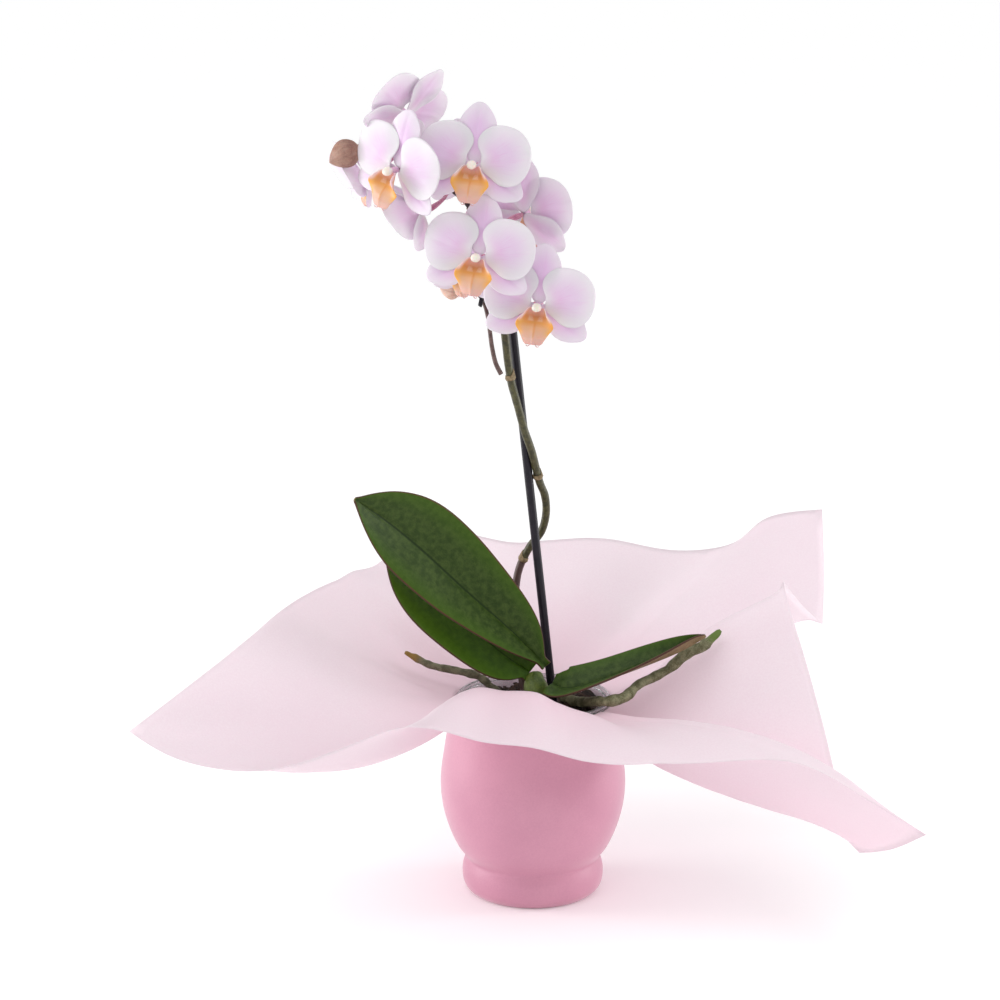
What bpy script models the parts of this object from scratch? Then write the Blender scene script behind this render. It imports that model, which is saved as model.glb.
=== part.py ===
"""A potted moth orchid: a ceramic cover pot lined with a square paper wrap, and in it a clear
growing pot of bark with one plant, whose flower spike is clipped to a stake.
Metres, +Z up. The origin is the middle of the pot's foot, X runs right and Y runs back."""
import math
import random

import bmesh
import bpy
from mathutils import Matrix, Vector

MM = 0.001
GAP = 0.0003            # left between pieces that touch

# ceramic cover pot: a turned bowl on a round foot
POT_HEIGHT = 0.1085
POT_MOUTH_RADIUS = 0.0495
POT_BELLY_RADIUS = 0.0547
POT_BELLY_HEIGHT = 0.067
POT_NECK_RADIUS = 0.0397
POT_NECK_HEIGHT = 0.0215
POT_FOOT_RADIUS = 0.0418
POT_FOOT_HEIGHT = 0.0115
POT_BASE_RADIUS = 0.0365
POT_WALL = 0.004
POT_FLOOR = 0.008
TURNED_SIDES = 30

# clear growing pot, standing on the wrap inside the cover pot
GROW_RIM_PROUD = 0.011      # how far its rim stands above the cover pot's mouth
GROW_RIM_LIP = 0.0018
GROW_RIM_DEPTH = 0.003
GROW_WALL = 0.0009
GROW_BASE_RADIUS = 0.0305
BARK_BELOW_RIM = 0.0055

# paper wrap
WRAP_THICKNESS = 0.0006
WRAP_CLEARANCE = 0.0006     # between the wrap and the pot on each side of it
WRAP_RIM_CLEARANCE = 0.0014

# plant and stake
STAKE_RADIUS = 0.0025
STAKE_DEPTH = 0.0895        # below the growing pot's rim
STAKE_RISE = 0.2470         # above it
CLIP_RISE = 0.2425          # height of the clip above the rim
CLIP_WIRE = 0.0011
SPIKE_RADIUS = 0.0023
SPIKE_TIP_RADIUS = 0.0011
BRANCH_RADIUS = 0.0014
CROWN_RADIUS = 0.0068
CROWN_HEIGHT = 0.0220
LEAF_THICKNESS = 0.0015
ROOT_RIGHT_RADIUS = 0.0029
ROOT_LEFT_RADIUS = 0.0021

# flowers
PETAL_LENGTH = 0.0295
PETAL_WIDTH = 0.0325
PETAL_THICKNESS = 0.0008
SEPAL_LENGTH = 0.0330
SEPAL_WIDTH = 0.0205
SEPAL_THICKNESS = 0.0008
OVARY_RADIUS = 0.0016
PEDICEL_RADIUS = 0.0010
LIP_LENGTH = 0.0165
LIP_WIDTH = 0.0190

MOUTH_Z = POT_HEIGHT
RIM_Z = POT_HEIGHT + GROW_RIM_PROUD
POT_INNER_MOUTH = POT_MOUTH_RADIUS - POT_WALL
WRAP_OUTER_AT_MOUTH = POT_INNER_MOUTH - WRAP_CLEARANCE
WRAP_MID_AT_MOUTH = WRAP_OUTER_AT_MOUTH - WRAP_THICKNESS / 2
GROW_MOUTH_RADIUS = WRAP_MID_AT_MOUTH - WRAP_THICKNESS / 2 - WRAP_CLEARANCE
GROW_RIM_RADIUS = GROW_MOUTH_RADIUS + GROW_RIM_LIP
WRAP_RIM_RADIUS = GROW_RIM_RADIUS + WRAP_RIM_CLEARANCE
WRAP_FLOOR_Z = POT_FLOOR + WRAP_CLEARANCE + WRAP_THICKNESS / 2
GROW_BASE_Z = WRAP_FLOOR_Z + WRAP_THICKNESS / 2 + WRAP_CLEARANCE
BARK_Z = RIM_Z - BARK_BELOW_RIM
# The stake's side that the spike passes stays where it is when the stake is made thicker.
STAKE_FOOT = Vector((0.0234 - STAKE_RADIUS, 0.0020 + STAKE_RADIUS, RIM_Z - STAKE_DEPTH))
STAKE_TOP = Vector((-0.0130 - STAKE_RADIUS, 0.0038 + STAKE_RADIUS, RIM_Z + STAKE_RISE))
BORE_TOP = BARK_Z + 0.01        # drills run out above the bark


# ---------------------------------------------------------------- shared tools

def clear_scene():
    for obj in list(bpy.data.objects):
        bpy.data.objects.remove(obj)


def paint(obj, name, colour, roughness, metallic=0.0):
    material = bpy.data.materials.get(name) or bpy.data.materials.new(name)
    material.use_nodes = True
    shader = material.node_tree.nodes["Principled BSDF"]
    shader.inputs["Base Color"].default_value = (*colour, 1.0)
    shader.inputs["Roughness"].default_value = roughness
    shader.inputs["Metallic"].default_value = metallic
    obj.data.materials.clear()
    obj.data.materials.append(material)


def add_object(name, data):
    obj = bpy.data.objects.new(name, data)
    bpy.context.scene.collection.objects.link(obj)
    return obj


def object_from(name, bm, smooth=True):
    mesh = bpy.data.meshes.new(name)
    bm.to_mesh(mesh)
    bm.free()
    if smooth:
        mesh.shade_smooth()
        mesh.set_sharp_from_angle(angle=math.radians(40))
    return add_object(name, mesh)


def smooth_at(points, t, closed=False):
    """The point at t, from 0 to 1, on the smooth curve through points."""
    spans = len(points) if closed else len(points) - 1
    place = min(max(t, 0.0), 1.0) * spans
    k = min(int(place), spans - 1)
    f = place - k

    def at(i):
        if closed:
            return points[i % len(points)]
        if i < 0:
            return points[0] * 2 - points[1]
        if i >= len(points):
            return points[-1] * 2 - points[-2]
        return points[i]

    a, b, c, d = at(k - 1), at(k), at(k + 1), at(k + 2)
    return (b * 2 + (c - a) * f + (a * 2 - b * 5 + c * 4 - d) * f ** 2
            + (b * 3 - a - c * 3 + d) * f ** 3) * 0.5


def smooth_path(points, count):
    points = [Vector(p) for p in points]
    return [smooth_at(points, i / (count - 1)) for i in range(count)]


def above_rim(row):
    """The place of a point given in millimetres, its height measured from the growing pot's rim."""
    return Vector(row) * MM + Vector((0.0, 0.0, RIM_Z))


def turned(name, outline, sides=TURNED_SIDES):
    """A solid turned round Z from an outline of (radius, height) that starts and ends on the axis."""
    bm = bmesh.new()
    verts = [bm.verts.new((r, 0.0, z)) for r, z in outline]
    edges = [bm.edges.new(pair) for pair in zip(verts, verts[1:])]
    bmesh.ops.spin(bm, geom=verts + edges, cent=(0, 0, 0), axis=(0, 0, 1),
                   angle=2 * math.pi, steps=sides, use_duplicate=False)
    bmesh.ops.remove_doubles(bm, verts=bm.verts[:], dist=1e-6)
    bmesh.ops.recalc_face_normals(bm, faces=bm.faces[:])
    return object_from(name, bm)


def lay_along(obj, place, axis):
    """Puts a turned object's foot at place with its axis along axis."""
    obj.rotation_mode = "QUATERNION"
    obj.rotation_quaternion = Vector(axis).normalized().to_track_quat("Z", "Y")
    obj.location = place


def tube(name, path, radii, resolution=2):
    """A round rod along path, with one radius for each point."""
    curve = bpy.data.curves.new(name, "CURVE")
    curve.dimensions = "3D"
    curve.bevel_depth = 1.0
    curve.bevel_resolution = resolution
    curve.use_fill_caps = True
    spline = curve.splines.new("POLY")
    spline.points.add(len(path) - 1)
    for point, place, radius in zip(spline.points, path, radii):
        point.co = (*place, 1.0)
        point.radius = radius
    return add_object(name, curve)


def taper(start, end, count):
    return [start + (end - start) * i / (count - 1) for i in range(count)]


def thicken(bm, offset):
    """Closes an open sheet into a plate by a copy of it moved by offset."""
    made = bmesh.ops.extrude_face_region(bm, geom=bm.faces[:], use_keep_orig=True)
    for vert in made["geom"]:
        if isinstance(vert, bmesh.types.BMVert):
            vert.co += offset


def drawn_out(bm, face):
    """Extrudes one face of a closed shape, and gives its new face and that face's corners."""
    made = bmesh.ops.extrude_face_region(bm, geom=[face])["geom"]
    bmesh.ops.delete(bm, geom=[face], context="FACES_ONLY")
    ring = [v for v in made if isinstance(v, bmesh.types.BMVert)]
    return next(f for f in made if isinstance(f, bmesh.types.BMFace)), ring


def sheet(bm, rows):
    """Quads between rows of points, each row as long as the first."""
    grid = [[bm.verts.new(p) for p in row] for row in rows]
    for low, high in zip(grid, grid[1:]):
        for k in range(len(low) - 1):
            bm.faces.new((low[k], low[k + 1], high[k + 1], high[k]))
    return grid


def bore(obj, cutter):
    cutter.hide_render = True
    cutter.display_type = "WIRE"
    cut = obj.modifiers.new("bore", "BOOLEAN")
    cut.operation = "DIFFERENCE"
    cut.object = cutter


# ---------------------------------------------------------------- the pots and what fills them

def pot_outline():
    """Outer (radius, height) of the cover pot from the edge of its base up to its mouth."""
    outline = [(POT_BASE_RADIUS, 0.0)]
    for k in range(1, 5):                       # the rounded foot, up to the neck
        a = math.radians(-60 + 120 * k / 5)
        rise = POT_FOOT_HEIGHT * (1 + math.sin(a) / math.sin(math.radians(60)) * 0.8)
        outline.append((POT_FOOT_RADIUS - 0.004 * (1 - math.cos(a)), rise))
    outline.append((POT_NECK_RADIUS, POT_NECK_HEIGHT))
    for k in range(1, 8):                       # up the lower half of the bowl to the belly
        t = k / 7
        bulge = math.sin(t * math.pi / 2) ** 0.75
        outline.append((POT_NECK_RADIUS + (POT_BELLY_RADIUS - POT_NECK_RADIUS) * bulge,
                        POT_NECK_HEIGHT + (POT_BELLY_HEIGHT - POT_NECK_HEIGHT) * t))
    for k in range(1, 6):                       # and in again to the mouth
        t = k / 5
        outline.append((POT_BELLY_RADIUS - (POT_BELLY_RADIUS - POT_MOUTH_RADIUS) * t ** 1.25,
                        POT_BELLY_HEIGHT + (POT_HEIGHT - 0.001 - POT_BELLY_HEIGHT) * t))
    return outline


def ceramic_pot():
    outer = pot_outline()
    lip = [(POT_MOUTH_RADIUS - 0.001, POT_HEIGHT), (POT_INNER_MOUTH + 0.001, POT_HEIGHT)]
    inner = [(r - POT_WALL, z) for r, z in reversed(outer) if z > POT_FLOOR + 0.004]
    floor = [(inner[-1][0] - 0.003, POT_FLOOR), (0.0, POT_FLOOR)]
    pot = turned("ceramic_pot", [(0.0, 0.0)] + outer + lip + inner + floor)
    paint(pot, "pink_ceramic", (0.68, 0.36, 0.46), 0.55)


def grow_radius(z):
    """Outer radius of the growing pot's tapered wall at a height."""
    t = (z - GROW_BASE_Z) / (MOUTH_Z - GROW_BASE_Z)
    return GROW_BASE_RADIUS + (GROW_MOUTH_RADIUS - GROW_BASE_RADIUS) * t


def grow_pot():
    rim_under = RIM_Z - GROW_RIM_DEPTH
    base_in = GROW_BASE_Z + GROW_WALL
    outline = [
        (0.0, GROW_BASE_Z),
        (GROW_BASE_RADIUS, GROW_BASE_Z),
        (GROW_MOUTH_RADIUS, MOUTH_Z),
        (GROW_MOUTH_RADIUS, rim_under - 0.0008),
        (GROW_RIM_RADIUS, rim_under),
        (GROW_RIM_RADIUS, RIM_Z - 0.0004),
        (GROW_RIM_RADIUS - 0.0004, RIM_Z),
        (GROW_MOUTH_RADIUS - GROW_WALL, RIM_Z),
        (GROW_MOUTH_RADIUS - GROW_WALL, MOUTH_Z),
        (grow_radius(base_in) - GROW_WALL, base_in),
        (0.0, base_in),
    ]
    pot = turned("grow_pot", outline, 28)
    for k in range(5):                          # drain holes round the base
        a = 2 * math.pi * k / 5
        bpy.ops.mesh.primitive_cylinder_add(
            vertices=8, radius=0.0035, depth=0.006,
            location=(0.019 * math.cos(a), 0.019 * math.sin(a), GROW_BASE_Z))
        drill = bpy.context.object
        drill.name = f"drain_drill_{k}"
        bore(pot, drill)
    paint(pot, "clear_plastic", (0.80, 0.80, 0.80), 0.2)


def bark_mix():
    """The bark that fills the growing pot, with a rough top."""
    rng = random.Random(7)
    clearance = GROW_WALL + GAP * 2
    bottom = GROW_BASE_Z + GROW_WALL + GAP * 2
    outline = [(0.0, bottom), (grow_radius(bottom) - clearance - GAP, bottom),
               (GROW_MOUTH_RADIUS - clearance - GAP, MOUTH_Z),
               (GROW_MOUTH_RADIUS - clearance - GAP, BARK_Z - 0.002),
               (0.032, BARK_Z), (0.021, BARK_Z), (0.010, BARK_Z), (0.0, BARK_Z)]
    bark = turned("bark_mix", outline, 24)
    for vert in bark.data.vertices:
        if vert.co.z > BARK_Z - 0.001:
            vert.co.z -= rng.uniform(0.0, 0.0022)
    hole = STAKE_RADIUS + GAP
    drill = turned("stake_drill", [(0.0, -GAP), (hole, -GAP), (hole, BORE_TOP), (0.0, BORE_TOP)], 12)
    lay_along(drill, STAKE_FOOT, STAKE_TOP - STAKE_FOOT)
    bore(bark, drill)
    bore(bark, turned_at("crown_drill", CROWN_PLACE, [
        (0.0, -CROWN_SUNK - GAP), (CROWN_RADIUS + GAP, -CROWN_SUNK - GAP),
        (CROWN_RADIUS + GAP, CROWN_HEIGHT), (0.0, CROWN_HEIGHT)], 12))
    paint(bark, "pine_bark", (0.10, 0.05, 0.035), 0.95)


# ---------------------------------------------------------------- the wrap

# One row for each fold line of the flared wrap, in order round the pot seen from above: its
# direction in degrees, its reach out past the growing pot's rim, and its rise above that rim
# at each of REACH_SHARES of the way out. Millimetres.
REACH_SHARES = (0.15, 0.45, 0.75, 1.0)
WRAP_FOLDS = (
    (208.3, 207, (1, 2, 10, 17)),          # front left corner
    (214.4, 190, (-3, -7, -2, 5)),
    (222.7, 160, (-8, -17, -13, 0)),       # low belly of the front left trough
    (231.5, 125, (3, -3, -2, 11)),
    (240.5, 101, (20, 24, 21, 22)),         # ridge that the front edge curls up to
    (251.9, 79, (22, 21, 16, 13)),
    (269.4, 71, (21, 17, 12, 6)),           # front flap, arched over in front of the plant
    (284.0, 77, (15, 10, 5, -1)),
    (298.1, 95, (7, 4, 2, -1)),
    (310.2, 123, (-2, 2, 4, 3)),
    (316.3, 145, (-3, 5, 7, 4)),
    (319.9, 167, (-1, 6, 6, -5)),
    (324.7, 213, (2, 7, -5, -32)),          # front right corner, along a sharp ridge
    (331.2, 161, (-32, -45, -55, -61)),     # bottom of the right valley
    (342.2, 130, (-18, -19, -16, -11)),
    (355.0, 110, (-5, 12, 26, 33)),
    (5.8, 101, (8, 36, 53, 65)),            # second crest on the right
    (24.2, 148, (1, 3, 11, 20)),            # valley behind it
    (37.6, 183, (6, 31, 55, 77)),           # back right corner
    (44.6, 160, (7, 30, 52, 71)),
    (48.3, 147, (6, 23, 39, 53)),
    (58.3, 129, (4, 15, 30, 47)),
    (68.7, 114, (7, 23, 39, 53)),
    (77.0, 108, (9, 27, 43, 56)),
    (87.8, 103, (8, 24, 40, 55)),
    (96.7, 104, (7, 22, 38, 53)),
    (112.1, 153, (9, 27, 45, 61)),          # back left corner
    (125.3, 112, (10, 28, 39, 47)),
    (138.0, 99, (9, 29, 42, 49)),
    (148.0, 92, (2, 14, 33, 50)),
    (159.0, 92, (2, 16, 34, 51)),
    (175.0, 100, (2, 17, 34, 50)),
    (190.6, 116, (4, 15, 32, 47)),
    (203.4, 155, (3, 9, 24, 38)),
)
WRAP_CORNERS = (208.3, 324.7, 37.6, 112.1)
WRAP_STEPS = 2                              # stations for each fold line
WRAP_RINGS = 8                              # rings between the rim and the free edge


def wrap_lines():
    """For each fold line, its points from the rim outward."""
    lines = []
    for degrees, reach, rises in WRAP_FOLDS:
        a = math.radians(degrees)
        out = Vector((math.cos(a), math.sin(a), 0.0))
        line = [out * WRAP_RIM_RADIUS + Vector((0, 0, RIM_Z - 0.001))]
        for share, rise in zip(REACH_SHARES, rises):
            line.append(out * (WRAP_RIM_RADIUS + reach * MM * share)
                        + Vector((0, 0, RIM_Z + rise * MM)))
        lines.append(line)
    return lines


def between_folds(lines, k, f, level):
    """A point on ring `level`, a share f of the way from fold line k to the next.
    The free edge turns sharply at the sheet's corners, and the rings inside it don't."""
    count = len(lines)
    a, b, c, d = (lines[(k + i) % count][level] for i in (-1, 0, 1, 2))
    if level == len(REACH_SHARES):
        if WRAP_FOLDS[k][0] in WRAP_CORNERS:
            a = b * 2 - c
        if WRAP_FOLDS[(k + 1) % count][0] in WRAP_CORNERS:
            d = c * 2 - b
    return smooth_at([a, b, c, d], (1 + f) / 3)


def wrap_sheet():
    lines = wrap_lines()
    bm = bmesh.new()
    base_ring = grow_radius(GROW_BASE_Z) * 0.55
    wall = [(base_ring, WRAP_FLOOR_Z)]
    offset = WRAP_CLEARANCE + WRAP_THICKNESS / 2
    for z in (WRAP_FLOOR_Z, (WRAP_FLOOR_Z + MOUTH_Z) / 2, MOUTH_Z - 0.002):
        wall.append((grow_radius(max(z, GROW_BASE_Z)) + offset + GAP, z))
    wall.append((GROW_RIM_RADIUS + offset, RIM_Z - GROW_RIM_DEPTH - 0.001))
    rings = []
    for k in range(len(lines)):
        for step in range(WRAP_STEPS):
            f = step / WRAP_STEPS
            levels = [between_folds(lines, k, f, n) for n in range(len(REACH_SHARES) + 1)]
            out = Vector((levels[0].x, levels[0].y, 0.0)).normalized()
            lined = [out * r + Vector((0, 0, z)) for r, z in wall]
            rings.append(lined + smooth_path(levels, WRAP_RINGS))
    grid = [[bm.verts.new(p) for p in ring] for ring in rings]
    centre = bm.verts.new((0.0, 0.0, WRAP_FLOOR_Z))
    for one, two in zip(grid, grid[1:] + grid[:1]):
        bm.faces.new((centre, one[0], two[0]))
        for k in range(len(one) - 1):
            bm.faces.new((one[k], one[k + 1], two[k + 1], two[k]))
    bmesh.ops.recalc_face_normals(bm, faces=bm.faces[:])
    wrap = object_from("wrap_sheet", bm)
    solid = wrap.modifiers.new("paper", "SOLIDIFY")
    solid.thickness = WRAP_THICKNESS
    solid.offset = 0.0
    paint(wrap, "pink_paper", (0.86, 0.66, 0.74), 0.6)


# ---------------------------------------------------------------- stake and clip

def stake_at(z):
    return STAKE_FOOT.lerp(STAKE_TOP, (z - STAKE_FOOT.z) / (STAKE_TOP.z - STAKE_FOOT.z))


def support_stake():
    stake = tube("support_stake", smooth_path([STAKE_FOOT, STAKE_TOP], 3), [STAKE_RADIUS] * 3)
    paint(stake, "dark_lacquer", (0.012, 0.009, 0.016), 0.25)


def stem_clip():
    """A sprung loop round the stake and the spike, with a thumb tail on the left."""
    height = RIM_Z + CLIP_RISE
    wire = CLIP_WIRE
    middle = (stake_at(height) + spike_near(height)) / 2
    apart = (stake_at(height) - spike_near(height)).length / 2
    loop = apart + max(STAKE_RADIUS, SPIKE_RADIUS) + wire + GAP * 3
    path = []
    for k in range(17):
        a = math.radians(205 + 310 * k / 16)
        path.append(middle + Vector((math.cos(a), math.sin(a), 0.0)) * loop)
    tail = [path[0] + Vector((-0.0050, -0.0030, -0.0045)), path[0] + Vector((-0.0032, -0.0014, -0.0018))]
    clip = tube("stem_clip", tail + path, [wire] * 19)
    paint(clip, "dark_lacquer", (0.012, 0.009, 0.016), 0.25)


# ---------------------------------------------------------------- crown, leaves and roots

CROWN_PLACE = Vector((0.0014, -0.006, BARK_Z))
CROWN_SUNK = 0.006


def turned_at(name, place, outline, sides):
    obj = turned(name, outline, sides)
    obj.location = place
    return obj


def plant_crown():
    r, h, deep = CROWN_RADIUS, CROWN_HEIGHT, CROWN_SUNK
    outline = [(0.0, -deep), (r * 0.75, -deep), (r, -deep * 0.3), (r, h * 0.35),
               (r * 0.82, h * 0.68), (r * 0.45, h * 0.92), (0.0, h)]
    crown = turned_at("plant_crown", CROWN_PLACE, outline, 14)
    paint(crown, "crown_green", (0.12, 0.20, 0.03), 0.5)


def leaf(name, midrib, halves, across, fold, widest, base_share, colour):
    """A long leaf along midrib. `halves` are the widths of its near and far halves, `across` is
    the direction of its far margin, and `fold` the angles in degrees that each half rises at the
    base and at the tip, near half first. It is widest at the share `widest` of its length, and at its foot it
    keeps base_share of its width to clasp the crown."""
    stations = 13
    path = smooth_path([above_rim(row) for row in midrib], stations)
    across = Vector(across)
    rows = []
    for i, place in enumerate(path):
        t = i / (stations - 1)
        along = (path[min(i + 1, stations - 1)] - path[max(i - 1, 0)]).normalized()
        side = (across - along * across.dot(along)).normalized()
        up = along.cross(side)
        if up.z < 0:
            up = -up
        u = t ** (math.log(0.5) / math.log(widest))
        full = max(max(1 - abs(2 * u - 1) ** 2.1, 0.0) ** 0.75, base_share * (1 - t) ** 3, 0.04)
        row = []
        for share in (-1.0, -0.5, 0.0, 0.5, 1.0):
            half = full * halves[share > 0]
            at_base, at_tip = fold[share > 0]
            rise = math.radians(at_base + (at_tip - at_base) * t)
            row.append(place + side * half * share * math.cos(rise)
                       + up * half * abs(share) ** 1.3 * math.sin(rise))
        rows.append(row)
    bm = bmesh.new()
    sheet(bm, rows)
    bmesh.ops.recalc_face_normals(bm, faces=bm.faces[:])
    obj = object_from(name, bm)
    blade = obj.modifiers.new("blade", "SOLIDIFY")
    blade.thickness = LEAF_THICKNESS
    blade.offset = 0.0
    paint(obj, name, colour, 0.4)


def leaves():
    leaf("leaf_upper",
         [(7, -15, 22), (-10, -13, 40.5), (-40, -11, 67.5), (-66, -15, 93.5), (-85, -22, 111.5),
          (-102.5, -32, 126.9)],
         (0.0245, 0.0295), (0.58, 0.45, 0.66), ((30, 12), (30, 12)), 0.53, 0.14, (0.05, 0.12, 0.03))
    leaf("leaf_lower",
         [(-2, -2, 14.5), (-21, -1.5, 28.5), (-51, -0.5, 55.5), (-71, -4, 76.5), (-85.5, -11, 92)],
         (0.0245, 0.0245), (0.58, 0.45, 0.66), ((26, 14), (26, 14)), 0.47, 0.30, (0.05, 0.16, 0.01))
    leaf("leaf_right",
         [(11, -10, 10.5), (20, -17, 10), (39, -20, 15.5), (65, -20, 25.2), (85, -19, 33.5),
          (100, -18, 41.5)],
         (0.0165, 0.0140), (0.0, 0.90, 0.42), ((34, 56), (22, 38)), 0.33, 0.35, (0.08, 0.15, 0.04))


def roots():
    right = [
        (17.7, 5, -2.4), (23.3, -5, -1.9), (29.6, -14, 0.2), (36.8, -25, 4.2),
        (42.9, -32, 6.3), (52.8, -31, 8.7), (60.6, -22, 13.1), (71.3, -16, 16.7),
        (80.2, -13, 21.3), (88.5, -12, 28.8), (99.5, -11, 34.1), (109, -8, 42.1)]
    left = [
        (-18, 10, -3.2), (-24, 11, 1.5), (-30, 12.5, 6.2), (-36, 14, 8.6), (-46.8, 16, 10.4),
        (-59.8, 18, 12.7), (-67.5, 19, 16.1), (-75.8, 20, 20.2)]
    for name, route, radius, count in (("root_right", right, ROOT_RIGHT_RADIUS, 24),
                                       ("root_left", left, ROOT_LEFT_RADIUS, 14)):
        radii = taper(radius, radius * 0.9, count)
        radii[-1] *= 0.55
        path = smooth_path([above_rim(row) for row in route], count)
        paint(tube(name, path, radii, 1), "root_grey", (0.22, 0.21, 0.12), 0.8)


# ---------------------------------------------------------------- spike, branch and buds

SPIKE_ROUTE = [above_rim(row) for row in (
    (-4.2, 8.4, -4.4), (-9, 14, 20.5), (-11, 20, 45.5), (-8.9, 22, 68.4), (-2.4, 21, 84),
    (4.6, 19, 94.2), (7.4, 16, 105.9), (6.7, 12, 117.7), (3.2, 8, 128), (-1, 2, 146.1),
    (-5.1, -2, 158.9), (-8, -3.5, 169.9), (-10.9, -4, 180.7), (-13.2, -4, 189.5),
    (-14.9, -4, 200.6), (-16.6, -3.2, 215.5), (-18.4, -2, 227.5), (-20.6, 0, 236.9),
    (-23.5, 4, 252.4), (-26.9, 8, 266.1), (-32, 10, 279), (-38.3, 10, 289.9),
    (-47.9, 10, 298.5), (-62.6, 8, 310.2), (-71.5, 6, 319.6), (-80.5, 4, 323.8), (-88, 2, 325.2))]
SPIKE_POINTS = 54


def spike_path():
    return smooth_path(SPIKE_ROUTE, SPIKE_POINTS)


def spike_radius(share):
    """The spike keeps its thickness to the first flower and then thins to its tip."""
    return SPIKE_RADIUS + (SPIKE_TIP_RADIUS - SPIKE_RADIUS) * max(0.0, share - 0.62) / 0.38


def spike_near(z):
    return min(spike_path(), key=lambda p: abs(p.z - z))


def flower_spike():
    path = spike_path()
    radii = [spike_radius(i / (len(path) - 1)) for i in range(len(path))]
    paint(tube("flower_spike", path, radii), "spike_brown", (0.06, 0.05, 0.02), 0.5)


def side_branch():
    route = [
        (-18.9, -6.5, 194), (-22, -6.5, 200.5), (-24, -6, 209.3), (-25.2, -5, 218),
        (-26.4, -2.5, 226), (-28.5, 2, 233), (-32.5, 6.5, 238.5), (-38.6, 9, 240.4)]
    path = smooth_path([above_rim(row) for row in route], 14)
    paint(tube("side_branch", path, taper(BRANCH_RADIUS, BRANCH_RADIUS * 0.7, 14), 1),
          "spike_brown", (0.06, 0.05, 0.02), 0.5)


def bud(name, place, axis, length, radius, stalk, colour):
    """A pointed oval bud on a short stalk, lying along axis from its stalk end at place."""
    outline = [(0.0, -stalk), (PEDICEL_RADIUS, -stalk), (PEDICEL_RADIUS, 0.0)]
    for k in range(1, 7):
        t = k / 7
        outline.append((radius * math.sin(math.pi * t ** 0.85) ** 0.75, length * t))
    outline.append((0.0, length))
    obj = turned(name, outline, 12)
    lay_along(obj, above_rim(place), axis)
    paint(obj, name, colour, 0.5)


def buds():
    bud("bud_tip", (-98.8, 0.0, 324.0), (-0.83, -0.20, -0.46), 0.0195, 0.0082, 0.0080,
        (0.36, 0.20, 0.15))
    bud("bud_small", (-41.8, 8.5, 240.7), (-0.93, -0.30, 0.05), 0.0125, 0.0062, 0.0022,
        (0.70, 0.48, 0.38))


# ---------------------------------------------------------------- flowers

# Each flower: where its petals meet (mm, height above the rim), the way it faces, as degrees to
# the right of straight ahead and degrees up, how far it leans over to the right, and its size
# against a full one.
BLOOMS = {
    "a": ((-72.3, 2, 341.6), -140, 30, -27, 0.92),
    "b": ((-76.9, -26, 314.0), -42, 0, 15, 1.0),
    "c": ((-34.2, -28, 317.0), -8, 8, 5, 1.0),
    "d": ((-6.2, 4, 284.6), 150, 4, -4, 1.0),
    "e": ((-31.5, -35, 266.5), -12, 6, 6, 1.0),
    "f": ((2.0, -24, 237.0), -8, 2, 6, 1.0),
    "g": ((-63.9, -3, 285.8), -92, -30, 0, 0.85),
    "h": ((-96.5, 21, 304.0), -76, -22, 0, 0.75),
    "i": ((-38.5, -8, 253), -20, -10, 10, 0.62),
    "j": ((-38.0, 30, 307.0), 165, 5, 10, 0.85),
}
SEPAL_ANGLES = (90.0, 208.0, 332.0)
PETAL_RISE = 12.0           # a petal points this far above level
COLUMN_FRONT = 0.0085


def bloom_frame(place, turn, up, lean, size):
    """Local axes of a flower: X to its viewer's right, Y to its top, Z out of its face."""
    a, e, r = math.radians(turn), math.radians(up), math.radians(lean)
    face = Vector((math.sin(a) * math.cos(e), -math.cos(a) * math.cos(e), math.sin(e)))
    right = Vector((math.cos(a), math.sin(a), 0.0))
    top = face.cross(right)
    right, top = (right * math.cos(r) - top * math.sin(r),
                  top * math.cos(r) + right * math.sin(r))
    turned_axes = Matrix((right, top, face)).transposed().to_4x4()
    return Matrix.Translation(above_rim(place)) @ turned_axes @ Matrix.Scale(size, 4)


def bloom_petal(name, frame, side):
    """One of the two broad side petals: side is 1 for the right one and -1 for the left."""
    rise = math.radians(PETAL_RISE)
    along = Vector((math.cos(rise), math.sin(rise), 0.0))
    across = Vector((-math.sin(rise), math.cos(rise), 0.0))
    rows = []
    for i in range(6):
        t = i / 5
        half = PETAL_WIDTH / 2 * max(math.sin(math.pi * (0.06 + 0.90 * t ** 0.80)), 0.1) ** 0.72
        row = []
        for share in (-1.0, -0.5, 0.0, 0.5, 1.0):
            p = along * (0.0018 + PETAL_LENGTH * t * (1 - 0.10 * share ** 2))
            p = p + across * half * share
            p.z = 0.0016 + 0.0035 * math.sin(math.pi * t) - 0.0010 * share ** 2
            row.append(Vector((p.x * side, p.y, p.z)))
        rows.append(row)
    bm = bmesh.new()
    sheet(bm, rows)
    thicken(bm, Vector((0.0, 0.0, -PETAL_THICKNESS)))
    bmesh.ops.transform(bm, matrix=frame, verts=bm.verts[:])
    bmesh.ops.recalc_face_normals(bm, faces=bm.faces[:])
    paint(object_from(name, bm), "petal_lilac", (0.80, 0.62, 0.80), 0.5)


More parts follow.
